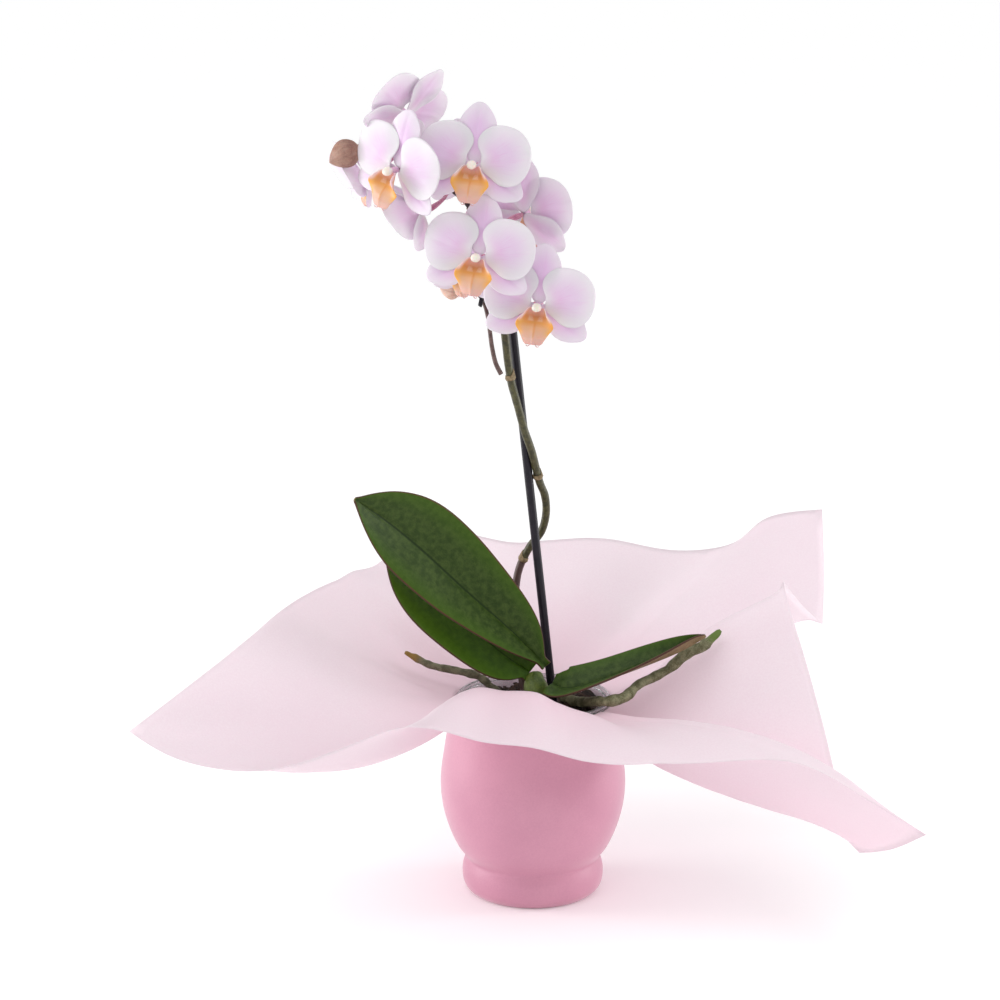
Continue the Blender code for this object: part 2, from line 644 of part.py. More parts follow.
def bloom_sepals(name, frame, size):
    """The three sepals, and behind them the ovary and the stalk that joins the spike."""
    bm = bmesh.new()
    hub_radius = 0.0022
    spread = 35.0
    hub = []
    lobes = []
    for angle in SEPAL_ANGLES:
        ring = []
        for turn in (-spread, 0.0, spread):
            a = math.radians(angle + turn)
            ring.append(bm.verts.new((hub_radius * math.cos(a), hub_radius * math.sin(a), 0.0)))
        hub += ring
        lobes.append((math.radians(angle), ring))
    face = bm.faces.new(hub)
    for angle, ring in lobes:
        out = Vector((math.cos(angle), math.sin(angle), 0.0))
        left = Vector((-math.sin(angle), math.cos(angle), 0.0))
        last = ring
        for i in range(1, 5):
            t = i / 4
            half = max(SEPAL_WIDTH / 2 * math.sin(math.pi * (0.15 + 0.83 * t)) ** 0.8, 0.0009)
            new = []
            for share in (-1, 0, 1):
                p = out * (hub_radius + (SEPAL_LENGTH - hub_radius) * t * (1 - 0.07 * share ** 2))
                p = p + left * half * share
                p.z = -0.0030 * t - 0.0008 * share ** 2
                new.append(bm.verts.new(p))
            for k in (0, 1):
                bm.faces.new((last[k], last[k + 1], new[k + 1], new[k]))
            last = new
    thicken(bm, Vector((0.0, 0.0, -SEPAL_THICKNESS)))
    bmesh.ops.transform(bm, matrix=frame, verts=bm.verts[:])
    bmesh.ops.recalc_face_normals(bm, faces=bm.faces[:])
    back = -frame.col[2].to_3d().normalized()
    hubs = [f for f in bm.faces if len(f.verts) == len(hub)]
    face = max(hubs, key=lambda f: f.calc_center_median().dot(back))
    start = face.calc_center_median()
    nearest = min(range(SPIKE_POINTS), key=lambda i: (spike_path()[i] - start - back * 0.012).length)
    meets = spike_path()[nearest]
    bend = start + back * 0.014 * size
    clear = spike_radius(nearest / (SPIKE_POINTS - 1)) + PEDICEL_RADIUS + GAP * 2
    end = meets + (bend - meets).normalized() * clear
    path = smooth_path([start, start.lerp(bend, 0.55), bend.lerp(end, 0.25), end], 6)
    heading = back
    for i in range(1, 6):
        face, ring = drawn_out(bm, face)
        middle = sum((v.co for v in ring), Vector()) / len(ring)
        ahead = path[min(i + 1, 5)] - path[i - 1]
        swing = heading.rotation_difference(ahead).to_matrix()
        heading = ahead
        wide = OVARY_RADIUS if i < 3 else PEDICEL_RADIUS
        for vert in ring:
            spoke = (vert.co - middle)
            vert.co = path[i] + swing @ spoke.normalized() * wide
    bmesh.ops.recalc_face_normals(bm, faces=bm.faces[:])
    paint(object_from(name, bm), "sepal_lilac", (0.78, 0.55, 0.78), 0.5)


def bloom_lip(name, frame):
    """The column with its cap, and below it the lip, grown from one block by extrusion."""
    bm = bmesh.new()
    bmesh.ops.create_cube(bm, size=0.003, matrix=Matrix.Translation((0.0, -0.0002, 0.0038)))

    ahead, down = Vector((0.0, 0.0, 1.0)), Vector((0.0, -1.0, 0.0))
    front_face = max(bm.faces, key=lambda f: f.calc_center_median().dot(ahead))
    lower_face = max(bm.faces, key=lambda f: f.calc_center_median().dot(down))

    def grow(face, flat, steps):
        for centre, wide, deep in steps:
            face, ring = drawn_out(bm, face)
            middle = sum((v.co for v in ring), Vector()) / 4
            for vert in ring:
                away = vert.co - middle
                rise = away.y if flat else away.z
                shift = Vector((math.copysign(wide / 2, away.x), 0.0, 0.0))
                if flat:
                    shift.y = math.copysign(deep / 2, rise)
                else:
                    shift.z = math.copysign(deep / 2, rise)
                vert.co = Vector(centre) + shift

    front = COLUMN_FRONT
    grow(front_face, True, (((0, 0, front - 0.0030), 0.0026, 0.0024),
                            ((0, 0.0002, front - 0.0022), 0.0040, 0.0038),
                            ((0, 0.0002, front), 0.0036, 0.0034),
                            ((0, 0.0002, front + 0.0010), 0.0018, 0.0018)))
    length, width = LIP_LENGTH, LIP_WIDTH
    grow(lower_face, False, (((0, -0.0045, 0.0046), 0.0070, 0.0022),
                             ((0, -0.0045 - length * 0.25, 0.0072), width, 0.0020),
                             ((0, -0.0045 - length * 0.50, 0.0090), width * 0.80, 0.0018),
                             ((0, -0.0045 - length * 0.85, 0.0086), width * 0.45, 0.0016),
                             ((0, -0.0045 - length, 0.0076), width * 0.12, 0.0010)))
    bmesh.ops.transform(bm, matrix=frame, verts=bm.verts[:])
    bmesh.ops.recalc_face_normals(bm, faces=bm.faces[:])
    paint(object_from(name, bm), "lip_orange", (0.86, 0.50, 0.22), 0.45)


def blooms():
    for letter, (place, turn, up, lean, size) in BLOOMS.items():
        frame = bloom_frame(place, turn, up, lean, size)
        bloom_sepals(f"bloom_{letter}_sepals", frame, size)
        bloom_petal(f"bloom_{letter}_petal_left", frame, -1)
        bloom_petal(f"bloom_{letter}_petal_right", frame, 1)
        bloom_lip(f"bloom_{letter}_lip", frame)


clear_scene()
ceramic_pot()
grow_pot()
bark_mix()
wrap_sheet()
support_stake()
stem_clip()
plant_crown()
leaves()
roots()
flower_spike()
side_branch()
buds()
blooms()
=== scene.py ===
import math
import random

import bmesh
import bpy
from mathutils import Matrix, Vector, noise


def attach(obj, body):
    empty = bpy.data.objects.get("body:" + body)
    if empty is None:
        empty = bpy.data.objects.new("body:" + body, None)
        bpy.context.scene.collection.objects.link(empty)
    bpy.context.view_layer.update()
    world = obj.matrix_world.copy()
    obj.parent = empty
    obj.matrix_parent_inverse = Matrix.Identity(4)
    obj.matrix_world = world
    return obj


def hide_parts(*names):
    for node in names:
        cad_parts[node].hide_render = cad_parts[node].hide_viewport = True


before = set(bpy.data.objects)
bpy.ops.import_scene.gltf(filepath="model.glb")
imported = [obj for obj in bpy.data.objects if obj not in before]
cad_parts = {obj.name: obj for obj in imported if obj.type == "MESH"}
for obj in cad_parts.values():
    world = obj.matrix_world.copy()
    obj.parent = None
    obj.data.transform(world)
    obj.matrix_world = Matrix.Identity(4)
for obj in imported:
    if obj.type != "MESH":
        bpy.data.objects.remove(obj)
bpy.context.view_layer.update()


# ---------------------------------------------------------------- the cover pot
# A turned bowl on a round foot, in pink ceramic under a matt glaze. It is thrown in one piece,
# and the wrap and the growing pot stand loose in it.

POT_WALL_OUTSIDE = (
    (0, 0.6), (20, 0.4), (34.5, 0), (37.6, 0.9), (40.2, 3.6), (41.5, 7.2), (41.9, 11.4), (41.5, 15.4),
    (40.5, 18.7), (39.7, 21.3), (41.6, 24.4), (44.6, 28.4), (47.7, 34.6), (50.2, 41), (52.2, 47.6),
    (53.6, 54), (54.4, 60.5), (54.7, 67), (54.4, 73), (53.6, 80), (52.5, 87), (51.4, 94),
    (50.4, 100.5), (49.6, 106))
POT_LIP = ((49.0, 107.9), (47.5, 108.5), (46.0, 107.9), (45.5, 106))
POT_WALL_INSIDE = ((46.7, 100), (49.4, 84), (50.4, 68), (48.2, 50), (43, 34), (37.6, 23), (30, 14),
                   (18, 9.5), (0, 8.6))


def only(obj):
    """Deselects everything but obj, and makes it the active object."""
    bpy.ops.object.select_all(action="DESELECT")
    obj.select_set(True)
    bpy.context.view_layer.objects.active = obj


def through(points, per_span, closed=False):
    """Points on the smooth curve through the given ones, per_span of them to a span."""
    points = [Vector(p) for p in points]
    count = len(points)
    spans = count if closed else count - 1
    found = []
    for k in range(spans):
        if closed:
            a, b, c, d = (points[(k + i) % count] for i in (-1, 0, 1, 2))
        else:
            b, c = points[k], points[k + 1]
            a = points[k - 1] if k else b * 2 - c
            d = points[k + 2] if k + 2 < count else c * 2 - b
        for i in range(per_span):
            f = i / per_span
            found.append((b * 2 + (c - a) * f + (a * 2 - b * 5 + c * 4 - d) * f ** 2
                          + (b * 3 - a - c * 3 + d) * f ** 3) * 0.5)
    return found if closed else found + [points[-1]]


def turned(name, outline, steps):
    """A shape turned round Z from an outline of (radius, height) in millimetres."""
    mesh = bpy.data.meshes.new(name)
    corners = [(max(r, 0.0) / 1000, 0.0, z / 1000) for r, z in outline]
    mesh.from_pydata(corners, [(i, i + 1) for i in range(len(corners) - 1)], [])
    obj = bpy.data.objects.new(name, mesh)
    bpy.context.scene.collection.objects.link(obj)
    only(obj)
    bpy.ops.object.mode_set(mode="EDIT")
    bpy.ops.mesh.select_all(action="SELECT")
    bpy.ops.mesh.spin(steps=steps, angle=math.tau, center=(0, 0, 0), axis=(0, 0, 1))
    bpy.ops.mesh.select_all(action="SELECT")
    bpy.ops.mesh.remove_doubles(threshold=1e-6)
    bpy.ops.mesh.normals_make_consistent(inside=False)
    bpy.ops.object.mode_set(mode="OBJECT")
    bpy.ops.object.shade_smooth()
    return obj


def new_finish(name, roughness):
    """A new material, as the material, its node tree and its shader."""
    material = bpy.data.materials.new(name)
    material.use_nodes = True
    shader = material.node_tree.nodes["Principled BSDF"]
    shader.inputs["Roughness"].default_value = roughness
    return material, material.node_tree, shader


def add(tree, kind, **inputs):
    """A new node, with its inputs set by name, or linked where the value is another node's output."""
    made = tree.nodes.new(kind)
    for name, value in inputs.items():
        socket = made.inputs[name]
        if isinstance(value, bpy.types.NodeSocket):
            tree.links.new(value, socket)
        else:
            socket.default_value = value
    return made


def calc(tree, operation, *values):
    """The output of a Math node."""
    made = tree.nodes.new("ShaderNodeMath")
    made.operation = operation
    for socket, value in zip(made.inputs, values):
        if isinstance(value, bpy.types.NodeSocket):
            tree.links.new(value, socket)
        else:
            socket.default_value = value
    return made.outputs[0]


def blend(tree, share, first, second):
    """The colour that is a share of the way from the first to the second."""
    made = tree.nodes.new("ShaderNodeMix")
    made.data_type = "RGBA"
    for index, value in ((0, share), (6, first), (7, second)):
        if isinstance(value, bpy.types.NodeSocket):
            tree.links.new(value, made.inputs[index])
        elif index:
            made.inputs[index].default_value = (*value, 1.0)
        else:
            made.inputs[index].default_value = value
    return made.outputs[2]


def step_up(tree, value, low, high):
    """0 below low, 1 above high, and smooth between them."""
    made = add(tree, "ShaderNodeMapRange", **{"Value": value, "From Min": low, "From Max": high})
    made.interpolation_type = "SMOOTHSTEP"
    return made.outputs["Result"]


def raise_grain(tree, shader, height, strength, distance):
    """Feeds a height to the shader as bump."""
    bump = add(tree, "ShaderNodeBump", Strength=strength, Distance=distance, Height=height)
    tree.links.new(bump.outputs["Normal"], shader.inputs["Normal"])


def mottle_group():
    """Two colours in soft patches with a fine grain over them."""
    group = bpy.data.node_groups.new("mottle", "ShaderNodeTree")
    for name, kind in (("Place", "NodeSocketVector"), ("Patches", "NodeSocketFloat"),
                       ("Grain", "NodeSocketFloat"), ("Low", "NodeSocketColor"), ("High", "NodeSocketColor")):
        group.interface.new_socket(name, in_out="INPUT", socket_type=kind)
    group.interface.new_socket("Colour", in_out="OUTPUT", socket_type="NodeSocketColor")
    group.interface.new_socket("Height", in_out="OUTPUT", socket_type="NodeSocketFloat")
    given = group.nodes.new("NodeGroupInput").outputs
    patches = add(group, "ShaderNodeTexNoise", Vector=given["Place"], Scale=given["Patches"], Detail=4.0)
    grain = add(group, "ShaderNodeTexNoise", Vector=given["Place"], Scale=given["Grain"], Detail=3.0)
    share = calc(group, "ADD", calc(group, "MULTIPLY", patches.outputs["Fac"], 0.65),
                 calc(group, "MULTIPLY", grain.outputs["Fac"], 0.35))
    colour = blend(group, step_up(group, share, 0.36, 0.66), given["Low"], given["High"])
    result = group.nodes.new("NodeGroupOutput")
    group.links.new(colour, result.inputs["Colour"])
    group.links.new(grain.outputs["Fac"], result.inputs["Height"])
    return group


def place_mottle(tree, patches, grain, low, high):
    """The mottle group in a material, on its Object coordinates."""
    made = tree.nodes.new("ShaderNodeGroup")
    made.node_tree = MOTTLE
    tree.links.new(add(tree, "ShaderNodeTexCoord").outputs["Object"], made.inputs["Place"])
    made.inputs["Patches"].default_value = patches
    made.inputs["Grain"].default_value = grain
    made.inputs["Low"].default_value = (*low, 1.0)
    made.inputs["High"].default_value = (*high, 1.0)
    return made.outputs


def mottled_finish(name, roughness, patches, grain, low, high, bump, depth):
    """A whole finish of two mottled colours with a fine raised grain, as the material and its shader."""
    material, tree, shader = new_finish(name, roughness)
    mottled = place_mottle(tree, patches, grain, low, high)
    tree.links.new(mottled["Colour"], shader.inputs["Base Color"])
    raise_grain(tree, shader, mottled["Height"], bump, depth)
    return material, shader


MOTTLE = mottle_group()

pot_outline = through(POT_WALL_OUTSIDE, 3) + through(POT_LIP, 3) + through(POT_WALL_INSIDE, 3)
pot = turned("pot_glazed", pot_outline, 112)

glaze, shader = mottled_finish("matt_pink_glaze", 0.48, 22.0, 900.0, (0.590, 0.262, 0.365),
                               (0.640, 0.295, 0.400), 0.10, 0.0004)
shader.inputs["Coat Weight"].default_value = 0.12
shader.inputs["Coat Roughness"].default_value = 0.38
shader.inputs["Sheen Weight"].default_value = 0.45
shader.inputs["Sheen Roughness"].default_value = 0.35
pot.data.materials.append(glaze)
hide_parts("ceramic_pot")
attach(pot, "root")


# ---------------------------------------------------------------- the wrap
# One square of thin matte pink paper. It is pushed down between the cover pot and the growing pot,
# and flares out over the rim in soft folds, with its four corners free.

WRAP_PLEATS = 31            # pleats that take up the square's spare width inside the cover pot
WRAP_PAPER = 0.00028
WRAP_RIPPLE = 0.0008        # how far the crumpling moves the paper
WRAP_GATHER = 0.0060        # and how far the folds that start at the rim move it
WRAP_RIM_EDGE = 0.0009      # the CAD sheet's own thickness, with a little over
WRAP_CORNER = 128           # degrees: where the free edge turns more sharply than this, it is a corner
WRAP_FREE_FROM = 0.050      # how far from the axis the paper comes free of the pots
WRAP_PLEAT_DEPTH = 0.0090


def one_side_of(node, name):
    """The upper skin of a thin closed CAD sheet, as an open sheet."""
    skin = node.copy()
    skin.data = node.data.copy()
    skin.name = name
    skin.hide_render = False
    bpy.context.scene.collection.objects.link(skin)
    for key in list(skin.keys()):
        del skin[key]
    bm = bmesh.new()
    bm.from_mesh(skin.data)
    bmesh.ops.remove_doubles(bm, verts=bm.verts[:], dist=0.00002)
    narrow = [f for f in bm.faces if min(e.calc_length() for e in f.edges) < WRAP_RIM_EDGE
              and max(abs(v.co.x) + abs(v.co.y) for v in f.verts) > 0.09]
    bmesh.ops.delete(bm, geom=narrow, context="FACES_ONLY")
    bm.faces.ensure_lookup_table()
    left = set(bm.faces)
    sides = []
    while left:
        found = [left.pop()]
        for face in found:
            for edge in face.edges:
                for near in edge.link_faces:
                    if near in left:
                        left.remove(near)
                        found.append(near)
        sides.append(found)
    sides.sort(key=lambda faces: sum(f.normal.z * f.calc_area() for f in faces
                                     if f.calc_center_median().z > 0.1))
    for faces in sides[:-1]:
        bmesh.ops.delete(bm, geom=faces, context="FACES")
    bmesh.ops.delete(bm, geom=[v for v in bm.verts if not v.link_faces], context="VERTS")
    bmesh.ops.join_triangles(bm, faces=bm.faces[:], angle_face_threshold=math.pi,
                             angle_shape_threshold=math.pi)
    bm.to_mesh(skin.data)
    bm.free()
    return skin


def crumple(place):
    """How far the paper stands off its smooth shape at a place: broad soft dents and a few creases."""
    soft = noise.noise(place * 17.0)
    sharp = abs(noise.noise(place * 24.0 + Vector((3.1, 0.7, 9.4))))
    return soft * 1.2 + (0.25 - sharp) * 1.3


def gather(place):
    """How far a fold that starts at the rim stands off at a place: most at the rim, and fading outward."""
    turn = math.atan2(place.y, place.x)
    across = Vector((math.cos(turn), math.sin(turn), 0.0)) * 4.2
    reach = math.hypot(place.x, place.y)
    rise = min(max((reach - 0.052) / 0.02, 0.0), 1.0)
    fold = noise.noise(across + Vector((0.0, 0.0, reach * 5)))
    return rise * fold * math.exp(-(reach - WRAP_FREE_FROM) / 0.075)


def pleat(place):
    """How far out a pleat stands between the two pots at a place: the most halfway up, none at the ends."""
    depth = max(0.0, math.sin(math.pi * min(max((place.z - 0.014) / 0.090, 0.0), 1.0)))
    turn = math.atan2(place.y, place.x) / math.tau * WRAP_PLEATS
    return WRAP_PLEAT_DEPTH * math.sqrt(depth) * abs(2 * (turn - math.floor(turn + 0.5)))


wrap = one_side_of(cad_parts["wrap_sheet"], "wrap_paper")
only(wrap)
bm = bmesh.new()
bm.from_mesh(wrap.data)
crease = bm.verts.layers.float.new("crease_vert")
for vertex in bm.verts:                                 # the free corners stay sharp
    ends = [e.other_vert(vertex).co - vertex.co for e in vertex.link_edges if e.is_boundary]
    if len(ends) == 2 and ends[0].angle(ends[1]) < math.radians(WRAP_CORNER):
        vertex[crease] = 1.0
bm.to_mesh(wrap.data)
bm.free()
smoother = wrap.modifiers.new("smooth", "SUBSURF")
smoother.levels = 2
smoother.render_levels = 2
bpy.ops.object.modifier_apply(modifier="smooth")
for vertex, normal in [(v, v.normal.copy()) for v in wrap.data.vertices]:
    reach = math.hypot(vertex.co.x, vertex.co.y)
    loose = min(max((reach - WRAP_FREE_FROM) / 0.03, 0.0), 1.0)
    out = Vector((vertex.co.x, vertex.co.y, 0.0)).normalized()
    ripple = crumple(vertex.co) * WRAP_RIPPLE * loose + gather(vertex.co) * WRAP_GATHER
    vertex.co += out * pleat(vertex.co) * (1 - loose) + normal * ripple
paper = wrap.modifiers.new("paper", "SOLIDIFY")
paper.thickness = WRAP_PAPER
paper.offset = 0.0
bpy.ops.object.modifier_apply(modifier="paper")
bpy.ops.object.shade_smooth()

paper_skin, tree, shader = new_finish("pink_wrap_paper", 0.42)
shader.inputs["Subsurface Weight"].default_value = 0.25
shader.inputs["Subsurface Radius"].default_value = (1.0, 0.70, 0.80)
shader.inputs["Subsurface Scale"].default_value = 0.004
mottled = place_mottle(tree, 5.0, 900.0, (0.800, 0.640, 0.710), (0.840, 0.700, 0.760))
# Painted shade: the paper is drawn a deeper pink near the pots and low down, where the pots and the folds
# shade it, and paler further out.
spot = add(tree, "ShaderNodeSeparateXYZ", Vector=add(tree, "ShaderNodeTexCoord").outputs["Object"]).outputs
reach = calc(tree, "SQRT", calc(tree, "ADD", calc(tree, "MULTIPLY", spot["X"], spot["X"]),
                                calc(tree, "MULTIPLY", spot["Y"], spot["Y"])))
painted_shade = calc(tree, "SUBTRACT", 1.0, step_up(tree, reach, 0.045, 0.130))
low = calc(tree, "SUBTRACT", 1.0, step_up(tree, spot["Z"], 0.060, 0.135))
painted_shade = calc(tree, "MAXIMUM", calc(tree, "MULTIPLY", painted_shade, 0.55), calc(tree, "MULTIPLY", low, 0.45))
tree.links.new(blend(tree, painted_shade, mottled["Colour"], (0.850, 0.520, 0.630)), shader.inputs["Base Color"])
raise_grain(tree, shader, mottled["Height"], 0.04, 0.0002)
wrap.data.materials.clear()
wrap.data.materials.append(paper_skin)
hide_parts("wrap_sheet")
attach(wrap, "root")


# ---------------------------------------------------------------- the growing pot and its bark
# A thin clear plastic pot, moulded with a rolled rim. Chips of dark pine bark and a little black
# fibre fill it to just under the rim.

GROW_POT_OUTLINE = (
    (0, 9.9), (30, 9.9), (31.0, 10.6), (43.6, 107.6), (43.8, 108.5), (43.8, 115.7), (44.1, 116.4),
    (45.3, 116.6), (45.6, 117.2), (45.5, 118.7), (45.0, 119.3), (44.1, 119.5), (43.2, 119.1), (42.9, 118.3),
    (42.9, 108.5), (42.7, 107.6), (30.2, 11.2), (0, 10.8))
BARK_TOP = 0.1130
BARK_REACH = 0.0415
CHIP_COUNT = 230

grow = turned("grow_pot_clear", GROW_POT_OUTLINE, 96)
clear, tree, shader = new_finish("clear_plastic", 0.10)
shader.inputs["Base Color"].default_value = (0.90, 0.91, 0.92, 1.0)
shader.inputs["Transmission Weight"].default_value = 0.88
shader.inputs["IOR"].default_value = 1.46
spot = add(tree, "ShaderNodeTexCoord").outputs["Object"]
scuffs = add(tree, "ShaderNodeTexNoise", Vector=spot, Scale=160.0)
raise_grain(tree, shader, scuffs.outputs["Fac"], 0.12, 0.0004)
grow.data.materials.append(clear)
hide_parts("grow_pot")
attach(grow, "root")

bark_finish, shader = mottled_finish("dark_pine_bark", 0.88, 130.0, 900.0, (0.007, 0.004, 0.003),
                                     (0.060, 0.026, 0.015), 0.9, 0.0012)
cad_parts["bark_mix"].data.materials.clear()
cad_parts["bark_mix"].data.materials.append(bark_finish)


def bark_chip():
    """One rough flake of bark, a block with its edges broken and its ends torn."""
    rng = random.Random(5)
    bpy.ops.object.select_all(action="DESELECT")
    bpy.ops.mesh.primitive_cube_add(size=1.0)
    chip = bpy.context.object
    bpy.ops.object.mode_set(mode="EDIT")
    bpy.ops.mesh.subdivide(number_cuts=1)
    bpy.ops.mesh.bevel(offset=0.10, segments=1, affect="EDGES")
    bpy.ops.object.mode_set(mode="OBJECT")
    for vertex in chip.data.vertices:
        vertex.co = Vector((vertex.co.x * 1.9, vertex.co.y, vertex.co.z * 0.45))
        vertex.co += Vector([rng.uniform(-0.09, 0.09) for _ in range(3)])
    return chip


def scatter_chips():
    """The loose top layer of bark: the one chip copied at many sizes and turns, as one piece."""
    rng = random.Random(21)
    chip = bark_chip()
    copies = []
    for _ in range(CHIP_COUNT):
        turn = rng.uniform(0, math.tau)
        away = BARK_REACH * math.sqrt(rng.uniform(0, 0.90))
        size = rng.uniform(0.0026, 0.0062)
        height = BARK_TOP + rng.uniform(-0.0016, 0.0010)
        place = Vector((away * math.cos(turn), away * math.sin(turn), height))
        tilt = Matrix.Rotation(rng.uniform(-0.55, 0.55), 4, "X")
        tilt = tilt @ Matrix.Rotation(rng.uniform(-0.5, 0.5), 4, "Y")
        copy = chip.copy()
        copy.data = chip.data.copy()
        spun = Matrix.Rotation(rng.uniform(0, math.tau), 4, "Z")
        copy.data.transform(Matrix.Translation(place) @ spun @ tilt @ Matrix.Scale(size, 4))
        bpy.context.scene.collection.objects.link(copy)
        copies.append(copy)
    bpy.data.objects.remove(chip)
    only(copies[0])
    for copy in copies:
        copy.select_set(True)
    bpy.ops.object.join()
    layer = bpy.context.object
    layer.name = "bark_chips"
    return layer


chips = scatter_chips()
chips.data.materials.append(bark_finish)
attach(chips, "root")


# ---------------------------------------------------------------- the crown and the leaves
# The plant's short stem stands in the bark, wrapped in leaf bases. Three thick leathery leaves
# grow from it: two up to the left, one over the other, and one folded along its midrib to the right.

LEAF_UPPER = ((7, -15, 141.5), (-10, -13, 160), (-40, -11, 187), (-66, -15, 213), (-85, -22, 231),
              (-102.5, -32, 246.4))
LEAF_LOWER = ((-2, -2, 134), (-21, -1.5, 148), (-51, -0.5, 175), (-71, -4, 196), (-85.5, -11, 211.5))
LEAF_RIGHT = ((11, -10, 130), (20, -17, 129.5), (39, -20, 135), (65, -20, 144.7), (85, -19, 153),
              (100, -18, 161))
LEAF_ACROSS = (0.58, 0.45, 0.66)
LEAF_LONG = 64              # rows of faces along a leaf
LEAF_WIDE = 20
LEAF_THICKNESS = 0.0015
LEAF_STEPS = 24             # points of a midrib's path to a span
CROWN_PLACE = Vector((0.0014, -0.006, 0.0))
CROWN_OUTLINE = ((0, 108), (4.6, 108), (6.6, 111), (6.9, 117), (6.6, 124), (5.4, 130), (2.6, 134.6), (0, 136))


def new_grid(name, long, wide):
    """A flat grid to be shaped, from -1 to 1 each way, with its UV map: X runs long, and Y across."""
    bpy.ops.object.select_all(action="DESELECT")
    bpy.ops.mesh.primitive_grid_add(x_subdivisions=long, y_subdivisions=wide, size=2)
    grid = bpy.context.object
    grid.name = name
    return grid


def apply_all(obj):
    only(obj)
    for modifier in list(obj.modifiers):
        bpy.ops.object.modifier_apply(modifier=modifier.name)
    bpy.ops.object.shade_smooth()


def grow_leaf(name, midrib, halves, across, fold, widest, base_share, ends, wave, top):
    """A leaf along its midrib, given in millimetres. Its near and far halves have the widths in halves, and
    each rises by its fold angles, in degrees, at its base and at its tip. It is widest at the share
    widest of its length, and keeps base_share of its width at its foot. The greater ends is, the more
    pointed its two ends are. Wave is how far the margins ripple."""
    last = (len(midrib) - 1) * LEAF_STEPS
    path = [p / 1000 for p in through(midrib, LEAF_STEPS)]
    across = Vector(across)
    grid = new_grid(name, LEAF_LONG, LEAF_WIDE)
    for vertex in grid.data.vertices:
        t = (vertex.co.x + 1) / 2
        c = vertex.co.y
        at = t * last
        k = min(int(at), last - 1)
        place = path[k].lerp(path[k + 1], at - k)
        along = (path[min(k + 4, last)] - path[max(k - 4, 0)]).normalized()
        side = (across - along * across.dot(along)).normalized()
        up = along.cross(side)
        if up.z < 0:
            up = -up
        u = t ** (math.log(0.5) / math.log(widest))
        full = max(max(1 - abs(2 * u - 1) ** 2.1, 0.0) ** ends, base_share * (1 - t) ** 3, 0.03)
        half = full * halves[c > 0]
        at_base, at_tip = fold[c > 0]
        rise = math.radians(at_base + (at_tip - at_base) * t)
        groove = -0.0013 * math.exp(-(c / 0.070) ** 2) * min(half / 0.010, 1.0)
        ripple = wave * math.sin(7.5 * t + (1.3 if c > 0 else 0.0)) * c ** 2
        roll = -0.06 * half * abs(c) ** 5
        vertex.co = (place + side * half * c * math.cos(rise)
                     + up * (half * abs(c) ** 1.25 * math.sin(rise) + groove + ripple + roll))
    bottom = min(grid.data.polygons, key=lambda f: f.center.z)
    if bottom.normal.z < 0:
        grid.data.flip_normals()
    grid.data.materials.append(top)
    grid.data.materials.append(LEAF_UNDER)
    blade = grid.modifiers.new("blade", "SOLIDIFY")
    blade.thickness = LEAF_THICKNESS
    blade.offset = 0.0
    blade.material_offset = 1
    blade.material_offset_rim = 1
    rounded = grid.modifiers.new("rounded", "SUBSURF")
    rounded.levels = 1
    rounded.render_levels = 1
    apply_all(grid)
    return grid


def leaf_finish(name, low, high, bright, rib, edge, roughness):
    """Leaf skin: speckled, with a line down the midrib, faint lengthwise veins and a brown margin."""
    material, tree, shader = new_finish(name, roughness)
    mottled = place_mottle(tree, 300.0, 1800.0, low, high)
    uv = add(tree, "ShaderNodeSeparateXYZ", Vector=add(tree, "ShaderNodeUVMap").outputs["UV"]).outputs
    from_rib = calc(tree, "ABSOLUTE", calc(tree, "SUBTRACT", uv["Y"], 0.5))
    veins = add(tree, "ShaderNodeTexNoise", Scale=1.0, Detail=2.0, Vector=add(
        tree, "ShaderNodeCombineXYZ", X=calc(tree, "MULTIPLY", uv["X"], 5.0),
        Y=calc(tree, "MULTIPLY", uv["Y"], 60.0)).outputs["Vector"])
    colour = blend(tree, calc(tree, "MULTIPLY", step_up(tree, veins.outputs["Fac"], 0.48, 0.75), 0.35),
                   mottled["Colour"], high)
    colour = blend(tree, calc(tree, "MULTIPLY", step_up(tree, from_rib, 0.22, 0.48), 0.6), colour, bright)
    colour = blend(tree, calc(tree, "SUBTRACT", 1.0, step_up(tree, from_rib, 0.006, 0.022)), colour, rib)
    colour = blend(tree, step_up(tree, from_rib, 0.475, 0.492), colour, edge)
    tree.links.new(colour, shader.inputs["Base Color"])
    height = calc(tree, "ADD", mottled["Height"], calc(tree, "MULTIPLY", veins.outputs["Fac"], 1.5))
    raise_grain(tree, shader, height, 0.22, 0.0006)
    shader.inputs["Specular IOR Level"].default_value = 0.20
    return material


LEAF_TOP = leaf_finish("leaf_green", (0.020, 0.045, 0.004), (0.054, 0.092, 0.016),
                       (0.050, 0.110, 0.004), (0.012, 0.030, 0.003), (0.095, 0.050, 0.018), 0.42)
LEAF_BRIGHT = leaf_finish("leaf_green_young", (0.034, 0.085, 0.004), (0.058, 0.130, 0.008),
                          (0.070, 0.150, 0.005), (0.024, 0.060, 0.004), (0.080, 0.055, 0.018), 0.42)
LEAF_UNDER = leaf_finish("leaf_under", (0.150, 0.110, 0.045), (0.260, 0.190, 0.095),
                         (0.230, 0.150, 0.080), (0.140, 0.130, 0.045), (0.075, 0.035, 0.024), 0.50)

